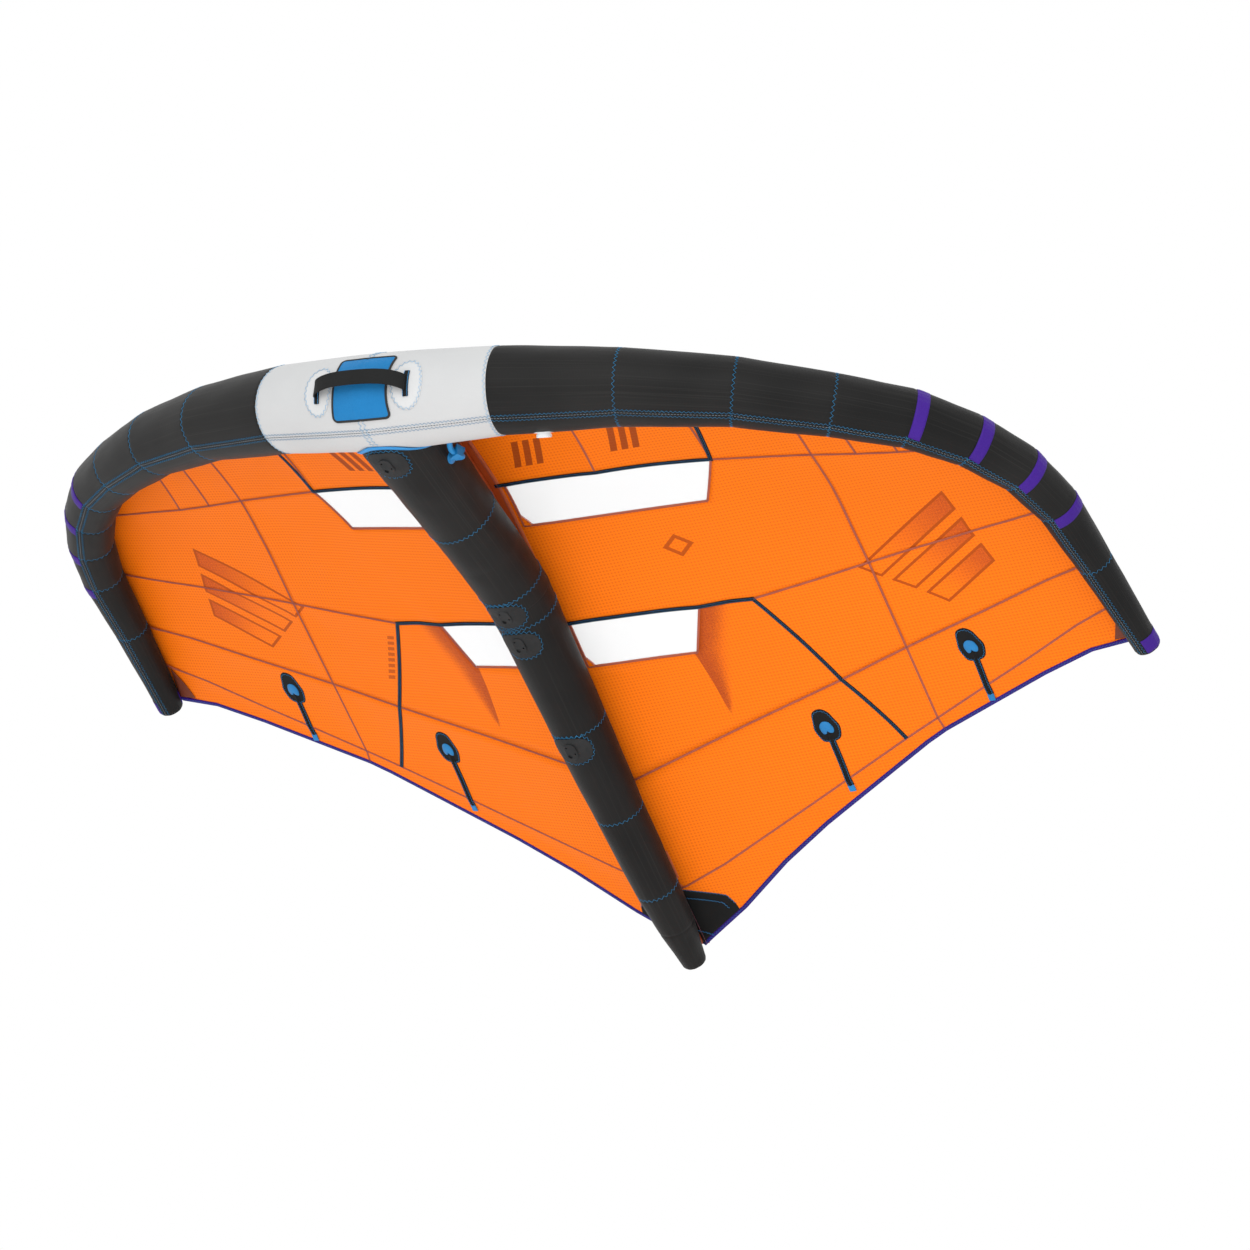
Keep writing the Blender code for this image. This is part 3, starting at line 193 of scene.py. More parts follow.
def sleeveFinish():
    # the tubes' laid cloth: fine lengthwise yarns, faint lengthwise tones, and a dull coating
    made = Finish("sleeveBlack", 0.6, Sheen_Weight=0.03, Sheen_Roughness=0.4, Specular_IOR_Level=0.14)
    u, v, _ = made.spot()
    yarn = (v * (math.tau / 0.0021)).sine() * 0.5 + 0.5
    across = (u * (math.tau / 0.0034)).sine() * 0.5 + 0.5
    streak = made.node("ShaderNodeCombineXYZ", {}, {0: u * 1.5, 1: v * 260.0})
    streaks = made.node("ShaderNodeTexNoise", {}, {"Vector": streak, "Scale": 1.0, "Detail": 1.0})
    tone = made.grain(3.0, 2.0).between(0.3, 0.7)
    amount = streaks.between(0.52, 0.8) * 0.5 + tone * 0.3 + yarn * across * 0.2
    made.feed("Base Color", made.mix(amount, shade("#131313"), shade("#302f2e")))
    made.feed("Roughness", streaks * 0.16 + 0.42)
    made.bump(yarn * across + streaks * 0.6, 0.3, 0.0004)
    return made.material


canopyPrint = {
    "cell": 0.0092,
    "cloth": "#ff7906",
    "thread": "#ff871c",
    "dot": "#e2601a",
    "tone": "#f0661a",
    "grainDark": "#96361e",
    "barFill": "#a83a22",
    "line": "#a8430f",
    "frontFill": "#8f3a14",
    "barCentre": (1.02, 0.86),
    "barTurn": math.radians(-32.0),
    "barPitch": 0.082,
    "barReach": 0.13,
    "frontBars": ((0.14, 0.35), (0.40, 0.35)),
    "ticks": (-0.6065, 1.01),
    "ring": (0.396, 0.703),
}


def canopyFinish():
    # ripstop: a grid of thicker threads with a dark pit in each crossing, and the printed design
    made = Finish("canopyRipstop", 0.5, Specular_IOR_Level=0.1)
    kit = canopyPrint
    x, y, _ = made.spot()
    across = (x * (math.pi / kit["cell"])).sine().size()
    along = (y * (math.pi / kit["cell"])).sine().size()
    pit = across.between(0.6, 0.98) * along.between(0.6, 0.98)
    rib = (1 - across).between(0.55, 0.95) * 0.6 + (1 - along).between(0.5, 0.95)
    speck = made.grain(520.0, 1.0)
    colour = made.mix(rib.between(0.0, 1.0) * 0.5, shade(kit["cloth"]), shade(kit["thread"]))

    def paint(amount, code):
        nonlocal colour
        colour = made.mix(amount, colour, shade(kit[code]))

    paint(pit * 0.75, "dot")
    paint(made.grain(2.2, 3.0).between(0.3, 0.75) * 0.12, "tone")
    side = x.size()
    # spray grain beside the rear windows, strongest at the window and fading aft
    aftOf = y - 1.023
    behind = y.between(1.022, 1.024)
    near = 0.321 - (1 - behind) * aftOf * 0.438 + behind * aftOf * 0.108
    wide = 0.114 - behind * aftOf * 0.538
    fadeOut = 1 - ((side - near) / wide.maths("MAXIMUM", 0.004)).between(0.0, 1.0)
    spray = (side - near).between(-0.003, 0.001) * fadeOut * y.between(0.888, 0.894) * wide.between(0.0, 0.03)
    dots = made.grain(900.0, 0.0)
    paint((spray * (dots.between(0.42, 0.58) * 0.55 + 0.45)).between(0.02, 0.75) * 0.85, "grainDark")
    # slanted bars with a grain gradient on the outer panels
    cx, cy = kit["barCentre"]
    c, s = math.cos(kit["barTurn"]), math.sin(kit["barTurn"])
    along = (side - cx) * c + (y - cy) * s
    over = (y - cy) * c - (side - cx) * s
    inBars = over.size() < kit["barPitch"] * 1.5
    bar = (over / kit["barPitch"] + 0.5).share() - 0.5
    reach = kit["barReach"] - over * 0.35
    inner = (bar.size() < 0.27) * (along.size() < reach - 0.008) * inBars
    outer = (bar.size() < 0.36) * (along.size() < reach) * inBars
    gradient = ((along + reach) / (reach * 2)).between(0.1, 1.0)
    paint(inner * (dots.between(0.40, 0.60) * 0.6 + 0.4) * gradient * 0.85, "barFill")
    paint((outer - inner) * 0.85, "line")
    # plain slanted bars ahead of the windows, a row of ticks by the left rear tape, a ring by the right window
    for placeX, placeY in kit["frontBars"]:
        skew = side - placeX + (y - placeY) * 0.35
        box = ((y - placeY).size() < 0.042) * (skew.size() < 0.045)
        paint(box * (((skew / 0.03 + 0.5).share() - 0.5).size() < 0.3) * 0.85, "frontFill")
    tickX, tickY = kit["ticks"]
    lean = y - tickY
    row = (lean.size() < 0.076) * ((x - tickX + lean * 0.467).size() < 0.011)
    paint(row * (((lean / 0.019).share() - 0.5).size() < 0.3) * 0.7, "line")
    ringX, ringY = kit["ring"]
    off = (x - ringX).size() + (y - ringY).size() * 1.2
    paint(((off < 0.042) - (off < 0.026)) * 0.8, "line")
    made.feed("Base Color", colour)
    made.feed("Roughness", speck * 0.1 + 0.42)
    made.bump(rib + speck * 0.3 - pit * 0.5, 0.45, 0.0005)
    return made.material


def filmFinish(name, colour, alpha, roughness):
    made = Finish(name, roughness, Alpha=alpha, IOR=1.45)
    waves = made.grain(5.0, 2.0)
    made.feed("Base Color", made.mix(waves, shade(colour), shade("#ffffff")))
    made.feed("Roughness", waves * 0.1 + roughness)
    made.bump(waves, 0.15, 0.002)
    return made.material


def mouldedFinish(name, colour, worn, roughness=0.6, grain=1500.0, specular=0.5):
    made = Finish(name, roughness, Specular_IOR_Level=specular)
    fine = made.grain(grain, 2.0)
    wide = made.grain(24.0, 3.0)
    made.feed("Base Color", made.mix(wide.between(0.35, 0.75) * 0.6 + fine * 0.2, shade(colour), shade(worn)))
    made.feed("Roughness", fine * 0.12 + wide * 0.08 + (roughness - 0.1))
    made.bump(fine, 0.25, 0.0002)
    return made.material


# material: colour, second colour, weave cell, bump depth, roughness, share of flecks, specular level
cloths = {
    "sleeveWhite": ("#c8c9c9", "#bebfc0", 0.003, 0.0002, 0.55, 0.3, 0.25),
    "tapeBlack": ("#0b0c0d", "#16181a", 0.0016, 0.0003, 0.7, 0.5, 0.2),
    "patchBlack": ("#090a0a", "#1b1b1c", 0.0042, 0.0005, 0.72, 0.7, 0.2),
    "hemPurple": ("#320d82", "#260a62", 0.0018, 0.0003, 0.6, 0.5, 0.2),
    "bandPurple": ("#42198f", "#321074", 0.0018, 0.0003, 0.55, 0.5, 0.2),
    "patchBrown": ("#7c3311", "#5a2610", 0.003, 0.0004, 0.65, 0.5, 0.5),
    "spineCloth": ("#c4561c", "#ab4a16", 0.003, 0.0003, 0.6, 0.5, 0.5),
    "seamOrange": ("#d8662a", "#b5542f", 0.003, 0.0003, 0.55, 0.5, 0.5),
    "bindingBlue": ("#2790d4", "#1c7abb", 0.0016, 0.0004, 0.55, 0.5, 0.5),
    "padBlue": ("#207fbd", "#196aa2", 0.0022, 0.0004, 0.6, 0.4, 0.15),
    "pipingBlack": ("#131414", "#242526", 0.0014, 0.0004, 0.7, 0.5, 0.5),
    "strapWebbing": ("#0d0e0e", "#1b1c1c", 0.0024, 0.0007, 0.75, 0.3, 0.25),
    "patchWhite": ("#d2d3d3", "#c6c7c8", 0.003, 0.0003, 0.55, 0.5, 0.5),
}
# material: colour, worn colour, and where they differ from a thread's, roughness, grain and specular level
moulded = {
    "plateRubber": ("#1d1e1f", "#2c2d2e", 0.6, 900.0, 0.25),
    "valveWhite": ("#e6e8ea", "#f6f7f8", 0.35, 900.0),
    "valveGrey": ("#3b3d40", "#55585c", 0.42, 900.0),
    "hoseBlue": ("#1b7cba", "#2388c6", 0.4, 500.0, 0.3),
    "clampBlue": ("#1a76b2", "#2384c0", 0.45, 900.0, 0.3),
    "battenBlue": ("#1f84c6", "#1a70ac", 0.42, 900.0, 0.3),
    "threadBlue": ("#2f8fd0", "#4aa6e2"),
    "threadDeep": ("#1b6fa6", "#2b86c2"),
    "threadMauve": ("#7d4a58", "#8c5a64"),
    "threadSea": ("#1b71a0", "#2a8abc"),
    "threadPale": ("#7fb4da", "#9ac6e6"),
    "threadGrey": ("#5f666b", "#7a8085"),
}
finishes = {
    "canopyRipstop": canopyFinish(),
    "sleeveBlack": sleeveFinish(),
    "windowFilm": filmFinish("windowFilm", "#f4f8fb", 0.2, 0.06),
    "bladderFilm": filmFinish("bladderFilm", "#dfe6ea", 0.45, 0.2),
}
finishes.update({name: clothFinish(name, *kit) for name, kit in cloths.items()})
finishes.update({name: mouldedFinish(name, *kit) for name, kit in moulded.items()})
print("finishes ready")


# Tubes: round stations joined by straight lines, as the cut panels of the real sleeves are
edgeStations = (
    (0, 0, 0, 0.1178), (0.3093, 0.02, 0.035, 0.1075), (0.591, 0.0809, 0.095, 0.0941),
    (0.8378, 0.173, 0.167, 0.0838), (1.036, 0.2781, 0.231, 0.0763), (1.1829, 0.374, 0.287, 0.0714),
    (1.29, 0.481, 0.33, 0.0654), (1.3671, 0.601, 0.365, 0.0601), (1.407, 0.73, 0.39, 0.0546),
    (1.425, 0.924, 0.415, 0.0446), (1.452, 1.21, 0.445, 0.033),
)
strutStations = (
    (0, -0.02, 0.005, 0.1075), (0, 0.1, 0.01, 0.1075), (0, 0.2629, 0.045, 0.097), (0, 0.4201, 0.083, 0.09),
    (0, 0.534, 0.112, 0.087), (0, 0.7001, 0.147, 0.084), (0, 0.8001, 0.147, 0.08),
    (0, 1.106, 0.1439, 0.0735), (0, 1.3901, 0.14, 0.064), (0, 1.648, 0.1439, 0.056),
    (0, 1.777, 0.149, 0.0481), (0, 1.905, 0.152, 0.031),
)
seamShape = {
    "swell": 0.012,  # share of the radius that the cloth stands out mid-way between two seams
    "groove": 0.0012,
    "grooveReach": 0.004,
    "pucker": 0.0008,
    "puckerReach": 0.02,
    "puckerCount": 31,
    "ripple": 0.0012,
    "capWidths": (0.985, 0.95, 0.85, 0.62, 0.40, 0.2, 0.05),
    "capBulges": (0.03, 0.055, 0.08, 0.1, 0.11, 0.115, 0.115),
}


class Tube:
    def __init__(self, stations, plain=()):
        # plain stations bend the tube without a seam across it
        self.sewn = [n for n in range(len(stations)) if n not in plain]
        self.centres = [Vector(s[:3]) for s in stations]
        self.radii = [s[3] for s in stations]
        self.last = len(stations) - 1
        self.sides = []
        self.ups = []
        for n, centre in enumerate(self.centres):
            back = (centre - self.centres[max(n - 1, 0)]).normalized()
            ahead = (self.centres[min(n + 1, self.last)] - centre).normalized()
            along = (back + ahead).normalized()
            up = (Vector((0, 0, 1)) - along * along.z).normalized()
            self.ups.append(up)
            self.sides.append(up.cross(along))
        self.spans = [(b - a).length for a, b in zip(self.centres, self.centres[1:])]

    def split(self, place):
        first = min(max(int(place), 0), self.last - 1)
        return first, place - first

    def raw(self, place, angle, lift=0.0):
        first, t = self.split(place)
        ends = []
        for n in (first, first + 1):
            out = math.cos(angle) * self.sides[n] + math.sin(angle) * self.ups[n]
            ends.append(self.centres[n] + (self.radii[n] + lift) * out)
        return ends[0].lerp(ends[1], t)

    def radius(self, place):
        first, t = self.split(place)
        return self.radii[first] * (1 - t) + self.radii[first + 1] * t

    def relief(self, place, angle):
        # how far the filled cloth stands off the plain tube: it swells between seams and puckers at them
        place = min(max(place, 0.0), self.last)
        kit = seamShape
        before = max(n for n in self.sewn if n <= place)
        after = min(n for n in self.sewn if n >= place)
        start, here, end = self.run(before), self.run(place), self.run(after)
        reach = min(here - start, end - here)
        t = (here - start) / (end - start) if after > before else 0.0
        swell = kit["swell"] * self.radius(place) * math.sin(math.pi * t) ** 0.7
        groove = kit["groove"] * math.exp(-(reach / kit["grooveReach"]) ** 2)
        phase = 4.0 * (before if t < 0.5 else after)
        wave = math.sin(kit["puckerCount"] * angle + phase) + 0.6 * math.sin(17 * angle + place)
        pucker = kit["pucker"] * math.exp(-reach / kit["puckerReach"]) * wave * min(1.0, reach / 0.006)
        spot = Vector((place * 3, math.cos(angle) * 2.2, math.sin(angle) * 2.2))
        return swell - groove + pucker + noise.noise(spot) * kit["ripple"]

    def point(self, place, angle, lift=0.0):
        return self.raw(place, angle, lift + self.relief(place, angle))

    def outward(self, place, angle):
        return (self.raw(place, angle) - self.raw(place, angle + math.pi)).normalized()

    def shift(self, place, distance):
        first = int(place) if distance > 0 else math.ceil(place) - 1
        return place + distance / self.spans[min(max(first, 0), self.last - 1)]

    def place(self, value, axis):
        for n in range(self.last):
            a, b = self.centres[n][axis], self.centres[n + 1][axis]
            if value <= b or n == self.last - 1:
                return n + (value - a) / (b - a)

    def along(self, place):
        ends = []
        for at in (max(place - 0.01, 0), min(place + 0.01, self.last)):
            ends.append(self.raw(at, 0) + self.raw(at, math.pi))
        return (ends[1] - ends[0]).normalized()

    def run(self, place):
        first, t = self.split(place)
        return sum(self.spans[:first]) + self.spans[first] * t


mirrored = [(-x, y, z, r) for x, y, z, r in edgeStations[:0:-1]]
edge = Tube(mirrored + list(edgeStations))
strut = Tube(strutStations, plain=(1, 2, 3, 4, 5, 6))
middle = len(edgeStations) - 1


def toWorld(points):
    return np.asarray([tuple(p) for p in points], float) @ turned + np.array(attitude["centre"])


def ride(piece, slot, replaces=()):
    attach(piece, "wing")
    if replaces:
        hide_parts(*replaces)


def makePiece(name, points, faces, finish, maps, slot=None, replaces=()):
    # a closed mesh from points in the level frame, with a map in metres for its cloth
    mesh = bpy.data.meshes.new(name)
    mesh.from_pydata(toWorld(points).tolist(), [], faces)
    mesh.validate()
    layer = mesh.uv_layers.new(name="clothMap")
    order = np.zeros(len(mesh.loops), int)
    mesh.loops.foreach_get("vertex_index", order)
    layer.data.foreach_set("uv", np.asarray(maps, np.float32)[order].ravel())
    mesh.shade_smooth()
    mesh.materials.append(finishes[finish])
    fix = bmesh.new()
    fix.from_mesh(mesh)
    bmesh.ops.recalc_face_normals(fix, faces=fix.faces)
    fix.to_mesh(mesh)
    fix.free()
    piece = addObject(name, mesh)
    if slot:
        ride(piece, slot, replaces)
    return piece


def netFaces(rows, columns, wrapped=False, base=0):
    faces = []
    for j in range(rows - 1):
        for i in range(columns if wrapped else columns - 1):
            n = (i + 1) % columns
            faces.append((base + j * columns + i, base + j * columns + n,
                          base + (j + 1) * columns + n, base + (j + 1) * columns + i))
    return faces


def slab(name, grid, finish, slot=None, replaces=()):
    # a closed sheet from rows of spots, each with a point on either side of the cloth and their map
    rows, columns = len(grid), len(grid[0])
    count = rows * columns
    near, far, maps = zip(*[spot for row in grid for spot in row])
    faces = netFaces(rows, columns) + netFaces(rows, columns, base=count)
    rim = list(range(columns)) + [j * columns + columns - 1 for j in range(1, rows)]
    rim += [count - 1 - i for i in range(1, columns)] + [j * columns for j in range(rows - 2, 0, -1)]
    faces += [(b, a, a + count, b + count) for a, b in zip(rim, rim[1:] + rim[:1])]
    return makePiece(name, near + far, faces, finish, maps + maps, slot, replaces)


def loft(name, rings, maps, finish, slot, replaces=(), closed=False):
    # a skin through rings of points, capped at its two ends or joined end to start
    sides = len(rings[0])
    last = (len(rings) - 1) * sides
    faces = netFaces(len(rings), sides, True)
    if closed:
        faces += [(last + k, last + (k + 1) % sides, (k + 1) % sides, k) for k in range(sides)]
    else:
        faces += [tuple(range(sides))[::-1], tuple(range(last, last + sides))]
    makePiece(name, [p for ring in rings for p in ring], faces, finish, maps, slot, replaces)


def disc(name, count, levels, spot, finish, slot, replaces=()):
    # a closed pad of two skins, each a fan with rings round it; spot gives a point and its map
    spots = []
    for skin in (0, 1):
        for level in (0.0, *levels):
            spots += [spot(skin, level, k) for k in range(count if level else 1)]
    skinSize = 1 + len(levels) * count
    faces = []
    for start in (0, skinSize):
        faces += [(start, start + 1 + k, start + 1 + (k + 1) % count) for k in range(count)]
        faces += netFaces(len(levels), count, True, start + 1)
    rim = [skinSize - count + k for k in range(count)]
    faces += [(a, b, b + skinSize, a + skinSize) for a, b in zip(rim, rim[1:] + rim[:1])]
    makePiece(name, [s[0] for s in spots], faces, finish, [s[1] for s in spots], slot, replaces)


def stepPlaces(tube, start, end):
    # places along a tube: close together beside a seam and wider apart between seams
    places = []
    for first in range(int(math.floor(start)), int(math.ceil(end))):
        span = tube.spans[first]
        near = [d for d in (0, 0.002, 0.004, 0.007, 0.011, 0.017, 0.026) if d < span / 2]
        count = max(2, round((span - 2 * near[-1]) / 0.016))
        between = [near[-1] + (span - 2 * near[-1]) * k / count for k in range(1, count)]
        for d in near + between + [span - d for d in reversed(near)]:
            p = first + d / span
            if start < p < end:
                places.append(p)
    return sorted({round(p, 6) for p in [start, end] + places})


def sleevePiece(name, tube, start, end, finish, slot, node, roundEnd=0, sides=72, wall=0.0012):
    # an outer skin and its lining, joined at the ends or rounded off at one
    places = stepPlaces(tube, start, end)
    turns = [math.tau * k / sides for k in range(sides)]
    skins = []
    for inset in (0.0, wall):
        rings = [[tube.point(p, a, -inset) for a in turns] for p in places]
        if roundEnd:
            tip = -1 if roundEnd > 0 else 0
            last, radius = rings[tip], tube.radius(places[tip])
            centre = sum(last, Vector()) / sides
            away = tube.along(places[tip]) * roundEnd
            caps = [[centre + (p - centre) * width + away * (bulge * radius - inset) for p in last]
                    for width, bulge in zip(seamShape["capWidths"], seamShape["capBulges"])]
            rings = rings + caps if roundEnd > 0 else caps[::-1] + rings
        skins.append(rings)
    rows = len(skins[0])
    count = rows * sides
    faces = netFaces(rows, sides, True) + netFaces(rows, sides, True, count)
    for first, closed in ((0, roundEnd < 0), (count - sides, roundEnd > 0)):
        rim = list(range(first, first + sides))
        if closed:
            faces += [tuple(rim), tuple(k + count for k in rim)]
        else:
            faces += [(a, b, b + count, a + count) for a, b in zip(rim, rim[1:] + rim[:1])]
    runs = [tube.run(p) for p in places]
    extra = [0.01 * k for k in range(1, rows - len(places) + 1)]
    if roundEnd > 0:
        runs += [runs[-1] + e for e in extra]
    else:
        runs = [runs[0] - e for e in reversed(extra)] + runs
    maps = [(run, abs(a - math.pi) * 0.1) for run in runs for a in turns] * 2
    points = [p for rings in skins for ring in rings for p in ring]
    return makePiece(name, points, faces, finish, maps, slot, [node])


edgePanels = ((1, 1, 3), (2, 3, 6), (3, 6, 10))
strutPanels = (("Front", 0.55, 5, 0), ("Middle", 5, 8, 0), ("Rear", 8, 11, 1))
bladder = {"sides": 32, "wall": 0.0035, "inset": 0.0022}


def buildSleeves():
    sleevePiece("edgeSleeveMiddle", edge, middle - 1, middle + 1, "sleeveWhite", "sleeve_white", "edge_sleeve_middle")
    for side, word in hands:
        for number, start, end in edgePanels:
            ends = sorted((middle + side * start, middle + side * end))
            sleevePiece(f"edgeSleeve{number}.{word}", edge, *ends, "sleeveBlack", "sleeve_black",
                        f"edge_sleeve_{word}_{number}", side if end == 10 else 0)
    for where, start, end, roundEnd in strutPanels:
        sleevePiece(f"strutSleeve{where}", strut, start, end, "sleeveBlack", "sleeve_black",
                    f"strut_sleeve_{where.lower()}", roundEnd)
    for name, tube, start, end in (("edge", edge, 0.01, edge.last - 0.01), ("strut", strut, 1.3, strut.last - 0.02)):
        film = sleevePiece(f"{name}Bladder", tube, start, end, "bladderFilm", "bladder_film", f"{name}_bladder",
                           sides=bladder["sides"], wall=bladder["wall"])
        # the film's outer skin lies a little inside the cloth
        vertices = film.data.vertices
        lift = np.zeros(len(vertices) * 3, np.float32)
        spots = np.zeros(len(vertices) * 3, np.float32)
        vertices.foreach_get("co", spots)
        film.data.vertex_normals.foreach_get("vector", lift)
        half = len(spots) // 2
        spots[:half] -= lift[:half] * bladder["inset"]
        vertices.foreach_set("co", spots)
    print("sleeves and bladders ready")


buildSleeves()


# Canopy: a net of nodes in plan, mirrored, with the height worked out from the attachment and the strut
canopy = {
    "cloth": 0.0015,
    "slope": 0.16,
    "entry": 0.50,
    "attachAngle": math.radians(75.0),
    "attachLift": 0.00115,
    "spineLift": 0.0025,
    "rearFade": 0.8523,
    "billow": 0.006,
    "billowReach": 0.05,
    "ripple": 0.0016,
    "steps": 9,
    "allowance": 1.04,  # flat cloth for each metre of plan, with the seams
}
edgeColumns = (0.0140, 0.0380, 0.1554, 0.3093, 0.4501, 0.5910, 0.7144, 0.8378, 0.9394, 1.0360, 1.1829)
rowEnds = (0.4525, 0.4864, 0.5566, 0.6050, 0.6994, 0.7647, 0.8494, 0.9450, 1.0745, 1.1918)
netRows = (
    ((0.0140, 0.4340), (0.0380, 0.4351), (0.1400, 0.4410), (0.2799, 0.4469), (0.4299, 0.4549), (0.5830, 0.4650),
     (0.7150, 0.4820), (0.8379, 0.4989), (0.9500, 0.5161), (1.0550, 0.5300), (1.1901, 0.5429)),
    ((0.0140, 0.5660), (0.0380, 0.5669), (0.1400, 0.5721), (0.2701, 0.5770), (0.3949, 0.5820), (0.5220, 0.5881),
     (0.7000, 0.6001), (0.8451, 0.6100), (0.9550, 0.6149), (1.0650, 0.6149), (1.2200, 0.6100)),
    ((0.0140, 0.7149), (0.0380, 0.7157), (0.1350, 0.7201), (0.2650, 0.7250), (0.3900, 0.7300), (0.5230, 0.7349),
     (0.7000, 0.7349), (0.8470, 0.7300), (0.9570, 0.7201), (1.0700, 0.7100), (1.2351, 0.7001)),
    ((0.0140, 0.8679), (0.0380, 0.8689), (0.1300, 0.8750), (0.2601, 0.8811), (0.3830, 0.8870), (0.5250, 0.8910),
     (0.7000, 0.8679), (0.8500, 0.8451), (0.9601, 0.8291), (1.0800, 0.8140), (1.2500, 0.7900)),
    ((0.0140, 1.0030), (0.0380, 1.0039), (0.1199, 1.0079), (0.2251, 1.0119), (0.3280, 1.0180), (0.5820, 1.0131),
     (0.7301, 0.9651), (0.8500, 0.9399), (0.9650, 0.9199), (1.0900, 0.8999), (1.2600, 0.8700)),
    ((0.0140, 1.3569), (0.0380, 1.3525), (0.1400, 1.3221), (0.2601, 1.2861), (0.3800, 1.2501), (0.6560, 1.1710),
     (0.7600, 1.1380), (0.8500, 1.1100), (0.9699, 1.0740), (1.1000, 1.0350), (1.2600, 0.9851)),
    ((0.0140, 1.7059), (0.0380, 1.7012), (0.1600, 1.6551), (0.3000, 1.5899), (0.4500, 1.5200), (0.7520, 1.3769),
     (0.8001, 1.3550), (0.8500, 1.3329), (0.9900, 1.2680), (1.1400, 1.2000), (1.2900, 1.1280)),
    ((0.0140, 1.8880), (0.0380, 1.8720), (0.1610, 1.7951), (0.3149, 1.6800), (0.4600, 1.5880), (0.8001, 1.3981),
     (0.8279, 1.3849), (0.8560, 1.3710), (1.0000, 1.3150), (1.1600, 1.2529), (1.3000, 1.2070)),
)
lastRow, lastColumn = 9, 11
# each panel is made of blocks of the net: first and last row, first and last column
panelBlocks = {
    "frontInner": (((0, 2), (0, 5)),),
    "frontOuter": (((0, 2), (5, 11)),),
    "windowFront": (((2, 3), (1, 5)),),
    "middleInner": (((3, 5), (0, 7)), ((2, 3), (5, 7)), ((2, 3), (0, 1))),
    "middleOuter": (((2, 5), (7, 11)),),
    "windowRear": (((5, 6), (1, 4)),),
    "rearInner": (((6, 7), (0, 7)), ((5, 6), (4, 7)), ((5, 6), (0, 1))),
    "rearOuter": (((5, 7), (7, 11)),),
    "lower": (((7, 9), (0, 11)),),
}


def lineAt(points, axis, value):
    for a, b in zip(points, points[1:]):
        if value <= b[axis] or b is points[-1]:
            return a.lerp(b, (value - a[axis]) / (b[axis] - a[axis]))


attachLine = [edge.raw(middle + n, canopy["attachAngle"], canopy["attachLift"]) for n in range(middle + 1)]
strutTop = [strut.raw(n, math.pi / 2) for n in range(strut.last + 1)]
ridge = [p + Vector((0, 0, canopy["spineLift"])) for p in strutTop[5:11]]
ridge.append(Vector((0, 1.905, ridge[-1].z)))


def netHeight(x, y):
    front = ridge[0].z
    rear = lineAt(ridge, 1, max(y, ridge[0].y)).z - front
    level = front + canopy["slope"] * x + rear * max(0.0, 1.0 - x / canopy["rearFade"])
    root = lineAt(attachLine, 0, x)
    depth = max(0.0, 1.0 - (y - root.y) / canopy["entry"])
    return level - (level - root.z) * depth ** 2


def makeNet():
    rows = [[lineAt(attachLine, 0, x) for x in edgeColumns]]
    rows += [[Vector((x, y, netHeight(x, y))) for x, y in row] for row in netRows]
    between = [a.lerp(b, 0.5) for a, b in zip(rows[0], rows[1])]
    for node in between:
        node.z = netHeight(node.x, node.y)
    rows.insert(1, between)
    for row, y in zip(rows, rowEnds):
        row.append(lineAt(attachLine, 1, y))
    return rows


net = makeNet()


def netRow(row, first, last):
    return [(row, k) for k in range(first, last + 1)]


def netColumn(column, first, last):
    return [(k, column) for k in range(first, last + 1)]


panelSeams = {
    "front": netRow(2, 5, 11),
    "middle": netRow(5, 5, 11),
    "rear": netRow(7, 0, 11),
    "tail": netRow(8, 0, 11),
    "long": netColumn(7, 0, 9),
    "shortInner": netColumn(3, 0, 2),
    "shortOuter": netColumn(9, 0, 2),
    "shortMiddle": netColumn(8, 0, 2),
    "shortWindow": netColumn(5, 0, 2),
    "windowFrontRear": netRow(3, 1, 5),
    "windowFrontEnd": netColumn(5, 2, 3),
    "windowFrontStart": netColumn(1, 2, 3),
    "windowRearRear": netRow(6, 1, 4),
    "windowRearEnd": netColumn(4, 5, 6),
    "windowRearStart": netColumn(1, 5, 6),
}
held = [*panelSeams.values(), netRow(0, 0, lastColumn), netRow(lastRow, 0, lastColumn),
        netColumn(0, 0, lastRow), netColumn(lastColumn, 0, lastRow)]
heldEnds = [(net[a][b].xy, net[c][d].xy) for keys in held for (a, b), (c, d) in zip(keys, keys[1:])]
seamStart = np.array([tuple(a) for a, _ in heldEnds])
seamRun = np.array([tuple(b) for _, b in heldEnds]) - seamStart
seamSquare = (seamRun ** 2).sum(1)


def billow(x, y):
    # the cloth stands a few millimetres proud between its seams
    spot = np.array((x, y))
    t = np.clip(((spot - seamStart) * seamRun).sum(1) / seamSquare, 0, 1)
    reach = np.sqrt(((seamStart + seamRun * t[:, None] - spot) ** 2).sum(1).min())
    ripple = noise.noise(Vector((x * 9, y * 9, 0.3))) * canopy["ripple"]
    return (canopy["billow"] + ripple) * (1 - math.exp(-(reach / canopy["billowReach"]) ** 1.3))


def clothHeight(x, y):
    # height of the finished canopy's middle at a place in plan
    x = abs(x)
    return netHeight(x, y) + billow(x, y)


def netPoint(j, i, v, u):
    # a point of the net's cell j, i, with its height blended to the tube at the outer end
    flat = net[j][i].lerp(net[j][i + 1], u).lerp(net[j + 1][i].lerp(net[j + 1][i + 1], u), v)
    x, y = flat.x, flat.y
    height = netHeight(x, y)
    if i == lastColumn - 1:
        height += (flat.z - height) * u * u
    if j == 0:
        height += (flat.z - height) * (1 - v) ** 2
    return Vector((x, y, height + billow(x, y)))


steps = canopy["steps"]
fineNet = {}


def finePoint(row, column):
    key = (row, column)
    if key not in fineNet:
        j = min(row // steps, lastRow - 1)
        i = min(column // steps, lastColumn - 1)
        fineNet[key] = netPoint(j, i, row / steps - j, column / steps - i)
    return fineNet[key]


